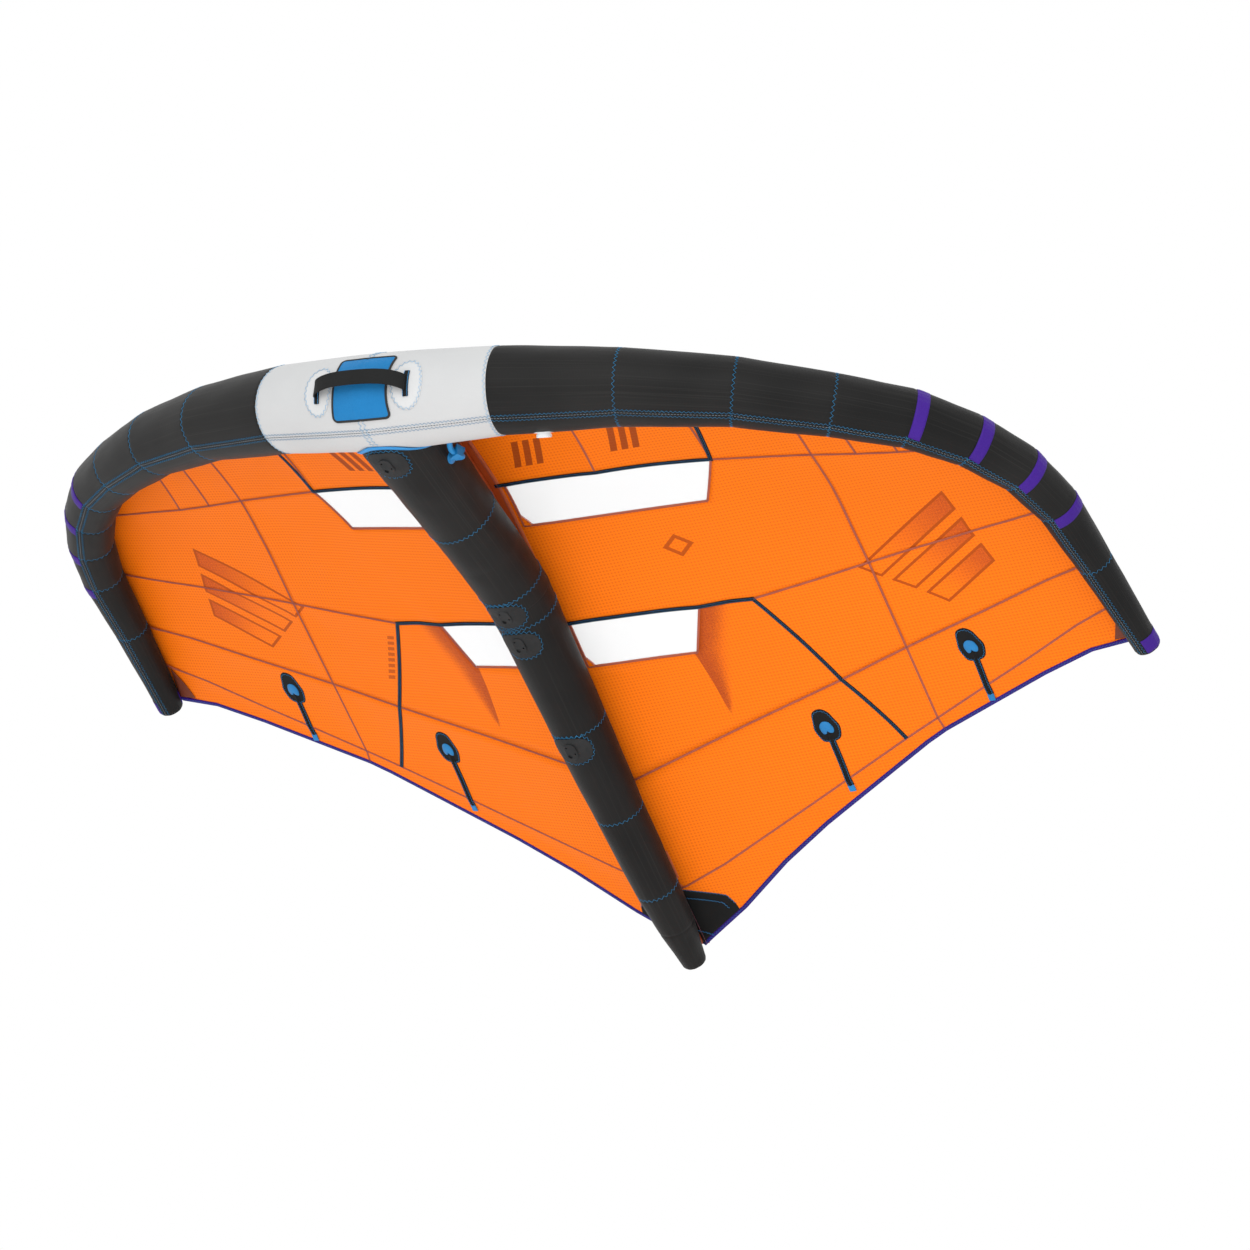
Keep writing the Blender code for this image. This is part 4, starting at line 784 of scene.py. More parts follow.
def snake(name):
    return "".join("_" + letter.lower() if letter.isupper() else letter for letter in name)


def buildPanel(name, blocks, side, word):
    cells = []
    for (top, bottom), (left, right) in blocks:
        for row in range(top * steps, bottom * steps):
            for column in range(left * steps, right * steps):
                cells.append(((row, column), (row, column + 1), (row + 1, column + 1), (row + 1, column)))
    keys = list(dict.fromkeys(key for cell in cells for key in cell))
    index = {key: n for n, key in enumerate(keys)}
    cells = [tuple(index[key] for key in cell) for cell in cells]
    ways = dict.fromkeys((cell[k], cell[(k + 1) % 4]) for cell in cells for k in range(4))
    half = canopy["cloth"] / 2
    spots = [finePoint(*key) for key in keys]
    tops = [(side * p.x, p.y, p.z + half) for p in spots]
    bottoms = [(side * p.x, p.y, p.z - half) for p in spots]
    maps = [(side * p.x, p.y) for p in spots]
    count = len(keys)
    faces = []
    for cell in cells:
        up = cell if side < 0 else cell[::-1]
        faces += [up, tuple(k + count for k in reversed(up))]
    for a, b in ways:
        if (b, a) not in ways:
            wall = (a, b, b + count, a + count)
            faces.append(wall if side > 0 else wall[::-1])
    window = name.startswith("window")
    panel = makePiece(f"{name}.{word}", tops + bottoms, faces, "windowFilm" if window else "canopyRipstop",
                      maps + maps, "window_film" if window else "canopy_ripstop",
                      [f"{'' if window else 'canopy_'}{snake(name)}_{word}"])
    area = 0.0
    for cell in cells:
        a, b, c, d = (Vector(tops[k]) for k in cell)
        area += (c - a).cross(d - b).length / 2
    wide, deep = (np.array(tops)[:, axis].ptp() * canopy["allowance"] for axis in (0, 1))
    max(wide, area / deep)
    return area


def buildCanopy():
    total = sum(buildPanel(name, blocks, *hand) for hand in hands for name, blocks in panelBlocks.items())
    print(f"canopy ready, {total:.2f} square metres of cloth")


buildCanopy()


def layer(side, above=False):
    # lays a place in plan on one half's cloth, a little under it or over it
    def lay(spot, off):
        x, y = side * spot[0], spot[1]
        reach = canopy["cloth"] / 2 + off
        return Vector((x, y, clothHeight(x, y) + (reach if above else -reach)))
    return lay


def densely(path, step):
    # the same plan path with points no further apart than a step
    made = [path[0]]
    for a, b in zip(path, path[1:]):
        count = max(1, math.ceil((b - a).length / step))
        made += [a.lerp(b, k / count) for k in range(1, count + 1)]
    return made


def runsAlong(path):
    runs = [0.0]
    for a, b in zip(path, path[1:]):
        runs.append(runs[-1] + (b - a).length)
    return runs


def mitres(path):
    pushes = []
    last = len(path) - 1
    for n, here in enumerate(path):
        one = (here - path[n - 1] if n else path[1] - here).normalized()
        two = (path[n + 1] - here if n < last else here - path[n - 1]).normalized()
        first, second = Vector((-one.y, one.x)), Vector((-two.y, two.x))
        pushes.append((first + second) / (1 + first.dot(second)))
    return pushes


def aside(side, pushes):
    return [Vector((side * p.x, p.y, 0)).normalized() for p in pushes]


guides = {}


def guide(group, points, besides):
    # a line that stitches will follow, with the directions that its zigzag swings in
    spots, ties, swings = guides.setdefault(group, ([], [], []))
    ties += [(len(spots) + k, len(spots) + k + 1) for k in range(len(points) - 1)]
    spots += points
    swings += besides


trim = {
    "seamHalf": 0.003,
    "seamThick": 0.0005,
    "tapeHalf": 0.0055,
    "tapeThick": 0.0009,
    "tapeGap": 0.0008,
    "tapePast": 0.043,  # how far the front tape's end lies outboard of its net column
    "hemIn": 0.0055,
    "hemOut": 0.006,
    "hemThick": 0.0022,
    "step": 0.02,
}


def strip(name, path, side, half, thick, finish, slot, rows, group, replaces=(), gap=0.0002, above=False):
    # a flat strip sewn along a plan path under the canopy, or over it, with its stitch lines
    path = densely(path, trim["step"])
    pushes = mitres(path)
    lay = layer(side, above)
    grid = []
    for here, push, run in zip(path, pushes, runsAlong(path)):
        row = []
        for share in (-1.0, -0.8, 0.0, 0.8, 1.0):
            spot = here + push * half * share
            lift = thick * (0.35 if abs(share) == 1.0 else 1.0)
            row.append((lay(spot, gap), lay(spot, gap + lift), (run, share * half)))
        grid.append(row)
    slab(name, grid, finish, slot, replaces)
    for share in rows:
        line = [lay(here + push * half * share, gap + thick + 0.0004) for here, push in zip(path, pushes)]
        guide(group, line, aside(side, pushes))


def netPath(keys):
    return [net[j][i].xy for j, i in keys]


def buildSeams():
    for side, word in hands:
        for name, keys in panelSeams.items():
            for above in (False, True):
                title = f"seam{name[0].upper()}{name[1:]}{'Over' if above else 'Under'}.{word}"
                strip(title, netPath(keys), side, trim["seamHalf"], trim["seamThick"], "seamOrange",
                      "canopy_ripstop", (-0.5, 0.5), "seamThread", above=above)
        front = netPath(netRow(2, 0, 5))
        end = lineAt(attachLine, 0, net[0][5].x + trim["tapePast"]).xy
        front.append(end + (front[-1] - end).normalized() * 0.03)
        rear = netPath(netRow(5, 0, 5) + netColumn(5, 6, 8))
        for name, path in (("Front", front), ("Rear", rear)):
            strip(f"tape{name}.{word}", path, side, trim["tapeHalf"], trim["tapeThick"], "tapeBlack", "tape_black",
                  (-0.45, 0.45), "tapeThread", [f"tape_{name.lower()}_{word}"], trim["tapeGap"])
    print("seams and tapes ready")


buildSeams()

hemOutline = ((-1.0, 0.55), (-1.0, 0.9), (-0.4, 1.0), (0.6, 1.0), (0.92, 0.7), (1.0, 0.0),
              (0.92, -0.7), (0.6, -1.0), (-0.4, -1.0), (-1.0, -0.9), (-1.0, -0.55))


def buildHems():
    # the trailing edge's folded binding, round the cloth's edge
    for side, word in hands:
        path = [p.xy for p in net[lastRow]]
        path[-1] = path[-2].lerp(path[-1], 0.94)
        path = densely(path, trim["step"])
        pushes = mitres(path)
        rings, maps = [], []
        for here, push, run in zip(path, pushes, runsAlong(path)):
            height = clothHeight(here.x, here.y)
            ring = []
            for wide, high in hemOutline:
                spot = here + push * (wide * (trim["hemOut"] if wide > 0 else trim["hemIn"]))
                ring.append(Vector((side * spot.x, spot.y, height + high * trim["hemThick"])))
            rings.append(ring)
            maps += [(run, k * 0.0022) for k in range(len(hemOutline))]
        loft(f"trailingHem.{word}", rings, maps, "hemPurple", "hem_purple", [f"trailing_hem_{word}"])
        for high in (-1, 1):
            off = high * (trim["hemThick"] + 0.0003)
            line = [Vector((side * p.x, p.y, clothHeight(p.x, p.y) + off)) for p in path]
            guide("hemThread", line, aside(side, pushes))
    print("hems ready")


buildHems()

spine = {
    "shares": (-0.028, -0.018, -0.006, 0.0, 0.006, 0.018, 0.028), "lift": 0.0006,
    "webHalf": 0.0008, "webFront": 0.11,
}


def buildSpine():
    # the strip that joins the halves, and the web down to the strut's top
    inner = [row[0] for row in net]
    start, end = inner[0].y, inner[-1].y
    grid = []
    for y in np.linspace(start, end, 120):
        height = lineAt(inner, 1, y).z + spine["lift"]
        row = []
        for x in spine["shares"]:
            up = height + max(0.0, clothHeight(max(abs(x), inner[0].x), y) - clothHeight(inner[0].x, y))
            row.append((Vector((x, y, up + canopy["cloth"] / 2)), Vector((x, y, up - canopy["cloth"])), (x, y)))
        grid.append(row)
    slab("canopySpine", grid, "spineCloth", "spine_brown", ["canopy_spine"])
    grid = []
    half = spine["webHalf"]
    for y in np.linspace(spine["webFront"], end - 0.002, 90):
        low, high = lineAt(strutTop, 1, y).z - 0.001, lineAt(inner, 1, y).z
        levels = [low + (high - low) * k / 4 for k in range(5)]
        grid.append([(Vector((half, y, z)), Vector((-half, y, z)), (y, z)) for z in levels])
    slab("spineWeb", grid, "seamOrange", "spine_brown")
    for x in (-0.022, 0.022):
        line = [Vector((x, y, lineAt(inner, 1, y).z - 0.0016)) for y in np.linspace(start, end, 60)]
        guide("seamThread", line, [Vector((1, 0, 0))] * len(line))
    print("spine ready")


buildSpine()


# Corner patches: a black one at the tail, a brown one at each tip, an orange one on each window's inner rear corner
corners = {
    "tailFront": ((0.0142, 1.7062), (0.126, 1.752), (0.141, 1.779)),
    "tailInner": ((0.0142, 1.7335), (0.1091, 1.7725), (0.1192, 1.7916)),
    "tailTip": ((0.0142, 1.842), (0.05, 1.864)),
    "tailSteps": 16,
    "tip": ((1.402, 1.09), (1.422, 1.187), (1.367, 1.189)),
    # the corner's net row, the window's last column, and the cut's reach along and ahead
    "windows": {"Front": (3, 5, 0.0221, 0.0355), "Rear": (6, 4, 0.0190, 0.0330)},
}


def patchBetween(name, front, back, finish, slot, side, above=False):
    lay = layer(side, above)
    rows = 10
    grid = []
    for r in range(rows + 1):
        spots = [a.lerp(b, r / rows) for a, b in zip(front, back)]
        grid.append([(lay(p, 0.0003), lay(p, 0.0011), (side * p.x, p.y)) for p in spots])
    slab(name, grid, finish, slot)


def resample(path, count):
    runs = runsAlong(path)
    made = []
    for k in range(count + 1):
        run = runs[-1] * k / count
        n = next(n for n in range(len(path) - 1) if run <= runs[n + 1] or n == len(path) - 2)
        made.append(path[n].lerp(path[n + 1], (run - runs[n]) / (runs[n + 1] - runs[n])))
    return made


def sewLine(group, path, side, above, lift=0.0016):
    lay = layer(side, above)
    path = densely([Vector(p) for p in path], 0.01)
    guide(group, [lay(p, lift) for p in path], aside(side, mitres(path)))


def buildCorners():
    edgeRow = [p.xy for p in net[lastRow]]
    for side, word in hands:
        front = resample([Vector(p) for p in corners["tailFront"]], corners["tailSteps"])
        corner = lineAt([p.to_3d() for p in edgeRow], 0, 0.146).xy
        back = resample([edgeRow[0], edgeRow[1], corner], corners["tailSteps"])
        front[-1] = corner.lerp(front[-1], 0.9)
        for above in (False, True):
            patchBetween(f"tailPatch{'Over' if above else 'Under'}.{word}", front, back, "patchBlack",
                         "patch_black", side, above)
            for line in ("tailFront", "tailInner", "tailTip"):
                sewLine("patchThread", corners[line], side, above)
        one, two, three = [Vector(p) for p in corners["tip"]]
        front = [one.lerp(three, k / 6) for k in range(7)]
        back = [two.lerp(two.lerp(three, 0.98), k / 6) for k in range(7)]
        patchBetween(f"tipPatch.{word}", front, back, "patchBrown", "spine_brown", side)
    for side, word in hands:
        for name, (row, last, wide, deep) in corners["windows"].items():
            corner = net[row][1].xy
            out = (net[row][last].xy - corner).normalized()
            ahead = (net[row - 1][1].xy - corner).normalized()
            inner, outer = corner + ahead * deep, corner + out * wide
            cut = [inner.lerp(outer, k / 8) for k in range(9)]
            rim = [(inner + ahead * 0.002).lerp(corner, k / 4) for k in range(4)]
            rim += [corner.lerp(outer + out * 0.002, k / 4) for k in range(5)]
            for above in (False, True):
                title = f"windowCorner{name}{'Over' if above else 'Under'}.{word}"
                patchBetween(title, cut, rim, "canopyRipstop", "canopy_ripstop", side, above)
                sewLine("seamThread", [inner, outer], side, above, 0.0014)
    print("corner patches ready")


buildCorners()


# Battens: an egg-shaped patch with a moulded cup, a sewn pocket aft of it, and a tab at the hem
batten = {
    "places": {"outer": ((1.0, 1.141), (1.0, 1.303)), "inner": ((0.557, 1.306), (0.557, 1.501))},
    "patch": ((-0.0168, -0.0465), (-0.0049, -0.0568), (0.0114, -0.0574), (0.0254, -0.0444), (0.0333, -0.0221),
              (0.0406, 0.0017), (0.034, 0.0308), (0.0203, 0.0425), (-0.0045, 0.044), (-0.0178, 0.0365),
              (-0.0267, 0.0059), (-0.024, -0.0159)),
    "cup": ((-0.010, -0.0067), (-0.004, -0.016), (0.0055, -0.0196), (0.0163, -0.0147), (0.0213, -0.0040),
            (0.0232, 0.0062), (0.0195, 0.0165), (0.0125, 0.0172), (0.0068, 0.0105), (0.0015, 0.0175),
            (-0.0062, 0.0180), (-0.0105, 0.006)),
    "padLevels": (0.3, 0.55, 0.75, 0.9, 0.98, 1.0),
    "shift": 0.0062,  # the pocket lies this far outboard of the cup's own place
    "pocketHalf": 0.0085,
    "pocketShares": (-1.0, -0.85, -0.4, -0.3, -0.15, 0.0, 0.15, 0.3, 0.4, 0.85, 1.0),
    "tabHalf": 0.0085,
    "tabLength": 0.019,
}


def roundLoop(points, count=48):
    # a closed smooth loop through points
    made = []
    total = len(points)
    for k in range(count):
        t = k / count * total
        n = int(t)
        f = t - n
        a, b, c, d = (Vector(points[(n + m) % total]) for m in (-1, 0, 1, 2))
        made.append((b * 2 + (c - a) * f + (a * 2 - b * 5 + c * 4 - d) * f * f
                     + (b * 3 - a - c * 3 + d) * f ** 3) / 2)
    return made


def padOn(name, centre, loop, side, finish, low, high, crown, slot, replaces=()):
    # a low crowned pad under the canopy, whose outline is a loop round a centre
    lay = layer(side)
    heart = sum(loop, Vector((0, 0))) / len(loop)

    def spot(skin, level, k):
        where = centre + heart.lerp(loop[k], level)
        rise = (high - low) * (1 - level ** 6 * 0.6) + crown * (1 - level ** 2)
        return lay(where, low + skin * rise), (side * where.x, where.y)

    disc(name, len(loop), batten["padLevels"], spot, finish, slot, replaces)


def buildPocket(name, path, side):
    lay = layer(side)
    half, shift = batten["pocketHalf"], batten["shift"]
    grid = []
    for here in path:
        row = []
        for share in batten["pocketShares"]:
            spot = (here.x + half * share + shift, here.y)
            swell = 0.003 * max(0.0, 1 - (share / 0.35) ** 2) ** 0.5  # over the rod
            rim = 0.3 if abs(share) == 1.0 else 1.0
            row.append((lay(spot, 0.0004), lay(spot, 0.0016 + 0.0008 * rim + swell), (share * half, here.y)))
        grid.append(row)
    slab(name, grid, "patchBlack", "patch_black")
    for share in (-0.72, 0.72):
        line = [lay((p.x + half * share + shift, p.y), 0.003) for p in path[3:]]
        guide("patchThread", line, [Vector((1, 0, 0))] * len(line))


def buildBattens():
    for side, word in hands:
        lay = layer(side)
        for where, (front, back) in batten["places"].items():
            front, back = Vector(front), Vector(back)
            title = where.capitalize()
            loop = roundLoop(batten["patch"])
            padOn(f"battenPatch{title}.{word}", front, loop, side, "patchBlack", 0.0003, 0.0014, 0.0004,
                  "patch_black", [f"batten_patch_{where}_{word}"])
            ring = loop + loop[:1]
            guide("patchThread", [lay(front + p * 0.91, 0.0019) for p in ring], aside(side, ring))
            padOn(f"battenCup{title}.{word}", front, roundLoop(batten["cup"]), side, "battenBlue", 0.0012, 0.0052,
                  0.0022, "batten_blue", [f"batten_{where}_{word}"])
            along = (back - front).normalized()
            end = back - along * (batten["tabLength"] - 0.004)
            buildPocket(f"battenPocket{title}.{word}", densely([front + along * 0.012, end], 0.01), side)
            wide, long = batten["tabHalf"], batten["tabLength"] / 2
            centre = back + Vector((batten["shift"], 0.004 - long))
            tab = [Vector(p) for p in ((wide, -long), (wide, long), (-wide, long), (-wide, -long))]
            loop = [a.lerp(b, t) for a, b in zip(tab, tab[1:] + tab[:1]) for t in (0.06, 0.3, 0.5, 0.7, 0.94)]
            padOn(f"battenTab{title}.{word}", centre, loop, side, "battenBlue", 0.0026, 0.0048, 0.0003, "batten_blue")
    print("battens ready")


buildBattens()


# Bands on the leading edge
bands = {
    "stations": (5, 6, 7, 8), "width": 0.031, "lift": 0.0009, "from": math.radians(52), "to": math.radians(263),
    "tip": (0.045, 0.002), "tipFrom": math.radians(20), "tipTo": math.radians(250), "rows": 6, "steps": 60,
}


def tubeBand(name, start, end, fromAngle, toAngle):
    grid = []
    for r in range(bands["rows"] + 1):
        p = start + (end - start) * r / bands["rows"]
        row = []
        for k in range(bands["steps"] + 1):
            a = fromAngle + (toAngle - fromAngle) * k / bands["steps"]
            row.append((edge.point(p, a, bands["lift"]), edge.point(p, a, 0.0001), (edge.run(p), a * edge.radius(p))))
        grid.append(row)
    slab(name, grid, "bandPurple", "hem_purple")


def buildBands():
    for side, word in hands:
        for n, station in enumerate(bands["stations"]):
            start = middle + side * station
            tubeBand(f"edgeBand{n + 1}.{word}", edge.shift(start, side * 0.001),
                     edge.shift(start, side * bands["width"]), bands["from"], bands["to"])
        ends = [edge.shift(middle + side * 10, -side * reach) for reach in bands["tip"]]
        tubeBand(f"tipBand.{word}", *ends, bands["tipFrom"], bands["tipTo"])
    print("bands ready")


buildBands()


# Stitch lines on the tubes
sewing = {
    "lift": 0.0007, "closing": math.radians(-88), "rowGap": 0.0075, "endInset": 0.0045, "double": 0.006,
    "strutRings": (0.4, 0.655, 0.752), "strutStations": (7, 8, 9),
}


def ringLine(group, tube, at, fromAngle=0.0, toAngle=math.tau):
    count = 120
    angles = [fromAngle + (toAngle - fromAngle) * k / count for k in range(count + 1)]
    guide(group, [tube.point(at, a, sewing["lift"]) for a in angles], [tube.along(at)] * len(angles))


def closingLine(group, offset):
    # a row along the leading edge's closing seam
    points, besides = [], []
    for p in stepPlaces(edge, 0.02, edge.last - 0.02):
        turn = sewing["closing"] + offset / edge.radius(p)
        points.append(edge.point(p, turn, sewing["lift"]))
        besides.append(edge.outward(p, turn).cross(edge.along(p)).normalized())
    guide(group, points, besides)


def buildTubeStitches():
    for side in (-1, 1):
        for station in range(2, 10):
            # the bands hide the front of their rings
            ends = (bands["to"], bands["from"] + math.tau) if station in bands["stations"] else (0.0, math.tau)
            ringLine("edgeThread", edge, middle + side * station, *ends)
        ringLine("whiteThread", edge, edge.shift(middle + side, -side * sewing["endInset"]))
        ringLine("whiteThread", edge, edge.shift(middle, side * sewing["double"]), math.radians(90), math.radians(360))
    closingLine("closeThread", -sewing["rowGap"])
    closingLine("closeThread", sewing["rowGap"])
    closingLine("dashThread", 0.0)
    for place in [strut.place(y, 1) for y in sewing["strutRings"]] + list(sewing["strutStations"]):
        ringLine("strutThread", strut, place)
    print("tube stitch lines ready")


buildTubeStitches()


# Strut binding: a wavy bound tape where the strut's sleeve meets the leading edge
binding = {
    "width": 0.010, "thick": 0.0026, "from": math.radians(150), "to": math.radians(390), "steps": 96, "wave": 0.0012,
    "outline": ((-0.1, 0.0), (-0.1, 1.6), (0.25, 1.9), (0.7, 1.2), (1.0, 0.8), (1.0, 0.0)),
}


def edgeLevel(x):
    # the leading edge's radius beside the strut
    return edge.radius(middle + abs(x) / edgeStations[1][0])


def meetPlace(angle):
    # where a line along the strut leaves the leading edge's surface
    low, high = 0.3, 2.0
    for _ in range(30):
        half = (low + high) / 2
        p = strut.raw(half, angle)
        if math.hypot(p.y, p.z) < edgeLevel(p.x) + 0.0012:
            low = half
        else:
            high = half
    return high


def buildBinding():
    kit = binding
    rings, maps = [], []
    for k in range(kit["steps"] + 1):
        t = k / kit["steps"]
        angle = kit["from"] + (kit["to"] - kit["from"]) * t
        at = meetPlace(angle)
        foot = strut.raw(at, angle, 0.0004)
        outward = strut.outward(at, angle)
        # the tape runs from the strut's skin outwards over the leading edge
        away = Vector((0, foot.y, foot.z)).normalized()
        slide = (outward - away * outward.dot(away)).normalized()
        width = kit["width"] + kit["wave"] * math.sin(t * 37)
        ring = []
        for wide, high in kit["outline"]:
            reach = foot + slide * wide * width
            level = edgeLevel(reach.x) + 0.0006 + high * kit["thick"]
            ring.append(Vector((reach.x, 0, 0)) + Vector((0, reach.y, reach.z)).normalized() * level)
        rings.append(ring)
        maps += [(t * 0.5, n * 0.002) for n in range(len(ring))]
    loft("strutBinding", rings, maps, "bindingBlue", "binding_blue", ["strut_binding"])
    print("strut binding ready")


buildBinding()


# Front handle: oval patches, a crowned knuckle pad with piping, and the webbing strap
handle = {
    "angle": math.radians(216), "lean": math.radians(6), "reach": 0.119, "standoff": 0.029,
    "strapWidth": 0.038, "strapThick": 0.0026, "steps": 60, "squareness": 3.2,
    "tabWidth": 0.013, "tabLength": 0.062, "tabThick": 0.0034,
    "ovalWidth": 0.078, "ovalLength": 0.128, "ovalSides": 56,
    "padWidth": 0.152, "padWaist": 0.07, "padTop": math.radians(172), "padBottom": math.radians(255),
    "padThick": 0.0052, "padColumns": 44, "padRows": 52, "padCorner": (0.17, 0.15),
    "piping": 0.0021, "pipingSides": 10,
    "strapOutline": ((-1, -1), (-0.93, -1.15), (-0.5, -1.0), (0, -0.95), (0.5, -1.0), (0.93, -1.15), (1, -1),
                     (1, 1), (0.93, 1.15), (0.5, 1.0), (0, 0.95), (-0.5, 1.0), (-0.93, 1.15), (-1, 1)),
}


def onEdge(x, angle, lift):
    return edge.point(edge.place(x, 0), angle, lift)


handleRadius = edge.radius(edge.place(handle["reach"], 0))


def buildOvals():
    kit = handle
    count = kit["ovalSides"]
    for side, word in hands:
        def onOval(k, wide, long, lift):
            turn = math.tau * k / count
            x = math.cos(turn) * wide * kit["ovalWidth"] / 2
            arc = math.sin(turn) * long * kit["ovalLength"] / 2
            return onEdge(side * kit["reach"] + x, kit["angle"] + arc / handleRadius, lift), (x, arc)

        def spot(skin, level, k):
            return onOval(k, level, level, 0.0003 + skin * (0.0013 - 0.008 * max(0.0, level - 0.9)))

        disc(f"handleOval.{word}", count, [n / 9 for n in range(1, 10)], spot, "patchWhite", "patch_white",
             [f"handle_patch_{word}"])
        line = [onOval(k, 0.92, 0.95, 0.0022)[0] for k in range(count + 1)]
        outer = [onOval(k, 0.92 * 1.02, 0.95 * 1.02, 0.0022)[0] for k in range(count + 1)]
        guide("whiteThread", line, [(b - a).normalized() for a, b in zip(line, outer)])


def padSpot(u, v, lift):
    kit = handle
    w = 2 * v - 1
    cornerU, cornerV = kit["padCorner"]
    a, b = (abs(u) - 1 + cornerU) / cornerU, (abs(w) - 1 + cornerV) / cornerV
    if a > 0 and b > 0:
        # the square's corner becomes a quarter circle
        u = math.copysign(1 - cornerU + cornerU * a * math.sqrt(1 - b * b / 2), u)
        w = math.copysign(1 - cornerV + cornerV * b * math.sqrt(1 - a * a / 2), w)
    v = (w + 1) / 2
    angle = kit["padTop"] + (kit["padBottom"] - kit["padTop"]) * v
    half = kit["padWidth"] / 2 * (1 - kit["padWaist"] * math.sin(math.pi * v))
    return onEdge(u * half, angle, lift)


def softened(piece, pressure, cap, frames=20):
    # fills a closed cloth form with air in a cloth simulation and keeps the result
    mesh = piece.data
    before = np.zeros(len(mesh.vertices) * 3, np.float32)
    mesh.vertices.foreach_get("co", before)
    cloth = piece.modifiers.new("fill", "CLOTH")
    settings = cloth.settings
    settings.quality = 5
    settings.mass = 0.2
    settings.tension_stiffness = 20
    settings.bending_stiffness = 2
    settings.use_pressure = True
    settings.uniform_pressure_force = pressure
    settings.effector_weights.gravity = 0
    settings.vertex_group_mass = "sewn"
    cloth.point_cache.frame_start = 1
    cloth.point_cache.frame_end = frames
    scene = bpy.context.scene
    for number in range(1, frames + 1):
        scene.frame_set(number)
        bpy.context.view_layer.update()
    result = piece.evaluated_get(bpy.context.evaluated_depsgraph_get()).to_mesh()
    after = np.zeros(len(result.vertices) * 3, np.float32)
    result.vertices.foreach_get("co", after)
    piece.modifiers.remove(cloth)
    scene.frame_set(1)
    before, after = before.reshape(-1, 3), after.reshape(-1, 3)
    push = after - before
    size = np.linalg.norm(push, axis=1, keepdims=True)
    push *= np.minimum(1.0, cap / np.maximum(size, 1e-9))
    mesh.vertices.foreach_set("co", (before + push).ravel())


def buildKnucklePad():
    kit = handle
    columns, rows = kit["padColumns"], kit["padRows"]
    grid = []
    for j in range(rows + 1):
        v = j / rows
        row = []
        for i in range(columns + 1):
            u = 2 * i / columns - 1
            crown = 1 - max(abs(u), abs(2 * v - 1)) ** 6
            row.append((padSpot(u, v, 0.0016 + (kit["padThick"] - 0.0022) * crown), padSpot(u, v, 0.0004),
                        (u * kit["padWidth"] / 2, v * 0.17)))
        grid.append(row)
    pad = slab("knucklePad", grid, "padBlue")
    count = (rows + 1) * (columns + 1)
    rim = [n for n in range(count) if n // (columns + 1) in (0, rows) or n % (columns + 1) in (0, columns)]
    pad.vertex_groups.new(name="sewn").add(list(range(count, 2 * count)) + rim, 1.0, "REPLACE")
    softened(pad, 3.0, 0.0012)
    ride(pad, "pad_blue", ["knuckle_pad"])


def buildPiping():
    # a round bead along the pad's rim, closed on itself
    outline = [(u / 40, 0.0) for u in range(-40, 40)] + [(1.0, v / 80) for v in range(80)]
    outline += [(-u / 40, 1.0) for u in range(-40, 40)] + [(-1.0, 1 - v / 80) for v in range(80)]
    path = [padSpot(u, v, 0.0018) for u, v in outline]
    radius, sides = handle["piping"], handle["pipingSides"]
    turns = [math.tau * k / sides for k in range(sides)]
    rings, maps = [], []
    for n, run in enumerate(runsAlong([path[-1]] + path)[1:]):
        here = path[n]
        along = (path[(n + 1) % len(path)] - path[n - 1]).normalized()
        out = Vector((0, here.y, here.z)).normalized()
        out = (out - along * out.dot(along)).normalized()
        beside = along.cross(out) * 1.5
        rings.append([here + (out * math.cos(t) + beside * math.sin(t)) * radius for t in turns])
        maps += [(run, t * radius) for t in turns]
    loft("padPiping", rings, maps, "pipingBlack", "pad_blue", closed=True)


def buildStrap():
    kit = handle
    last, power = kit["steps"], 2 / kit["squareness"]
    path, arounds = [], []
    for n in range(last + 1):
        turn = math.pi * n / last
        x = -math.copysign(abs(math.cos(turn)) ** power, math.cos(turn)) * kit["reach"]
        lift = math.sin(turn) ** power
        at, angle = edge.place(x, 0), kit["angle"] - kit["lean"] * lift ** 3
        path.append(edge.raw(at, angle, 0.0022 + kit["tabThick"] / 2 + kit["standoff"] * lift))
        arounds.append(edge.outward(at, angle + math.pi / 2))
    rings, maps = [], []
    for n, (here, around, run) in enumerate(zip(path, arounds, runsAlong(path))):
        along = (path[min(n + 1, last)] - path[max(n - 1, 0)]).normalized()
        across = (around - along * around.dot(along)).normalized()
        normal = across.cross(along).normalized()
        rings.append([here + across * wide * kit["strapWidth"] / 2 + normal * high * kit["strapThick"] / 2
                      for wide, high in kit["strapOutline"]])
        maps += [(run, wide * kit["strapWidth"] / 2) for wide, _ in kit["strapOutline"]]
    loft("handleStrap", rings, maps, "strapWebbing", "strap_black", ["front_handle"])
    angles = [kit["angle"] + (k / 16 - 0.5) * kit["tabLength"] / handleRadius for k in range(17)]
    for side, word in hands:
        grid = []
        for k, angle in enumerate(angles):
            row = []
            for share, high in ((-1, 0.6), (-0.8, 1.0), (0, 1.0), (0.8, 1.0), (1, 0.6)):
                x = side * kit["reach"] + share * kit["tabWidth"] / 2
                top = 0.0014 + kit["tabThick"] * high
                row.append((onEdge(x, angle, top), onEdge(x, angle, 0.0014), (x, k * 0.004)))
            grid.append(row)
        slab(f"handleTab.{word}", grid, "strapWebbing", "strap_black")
        for share in (-0.85, 0.85):
            x = side * kit["reach"] + share * kit["tabWidth"] / 2
            guide("handleThread", [onEdge(x, angle, 0.0052) for angle in angles], [Vector((1, 0, 0))] * len(angles))


buildOvals()
buildKnucklePad()
buildPiping()
buildStrap()
print("front handle ready")


# Zigzags round the handle plates
plates = {"places": (0.1071, 0.701, 0.8026, 1.1436), "length": 0.078, "width": 0.106, "margin": 0.0035, "square": 2.6}


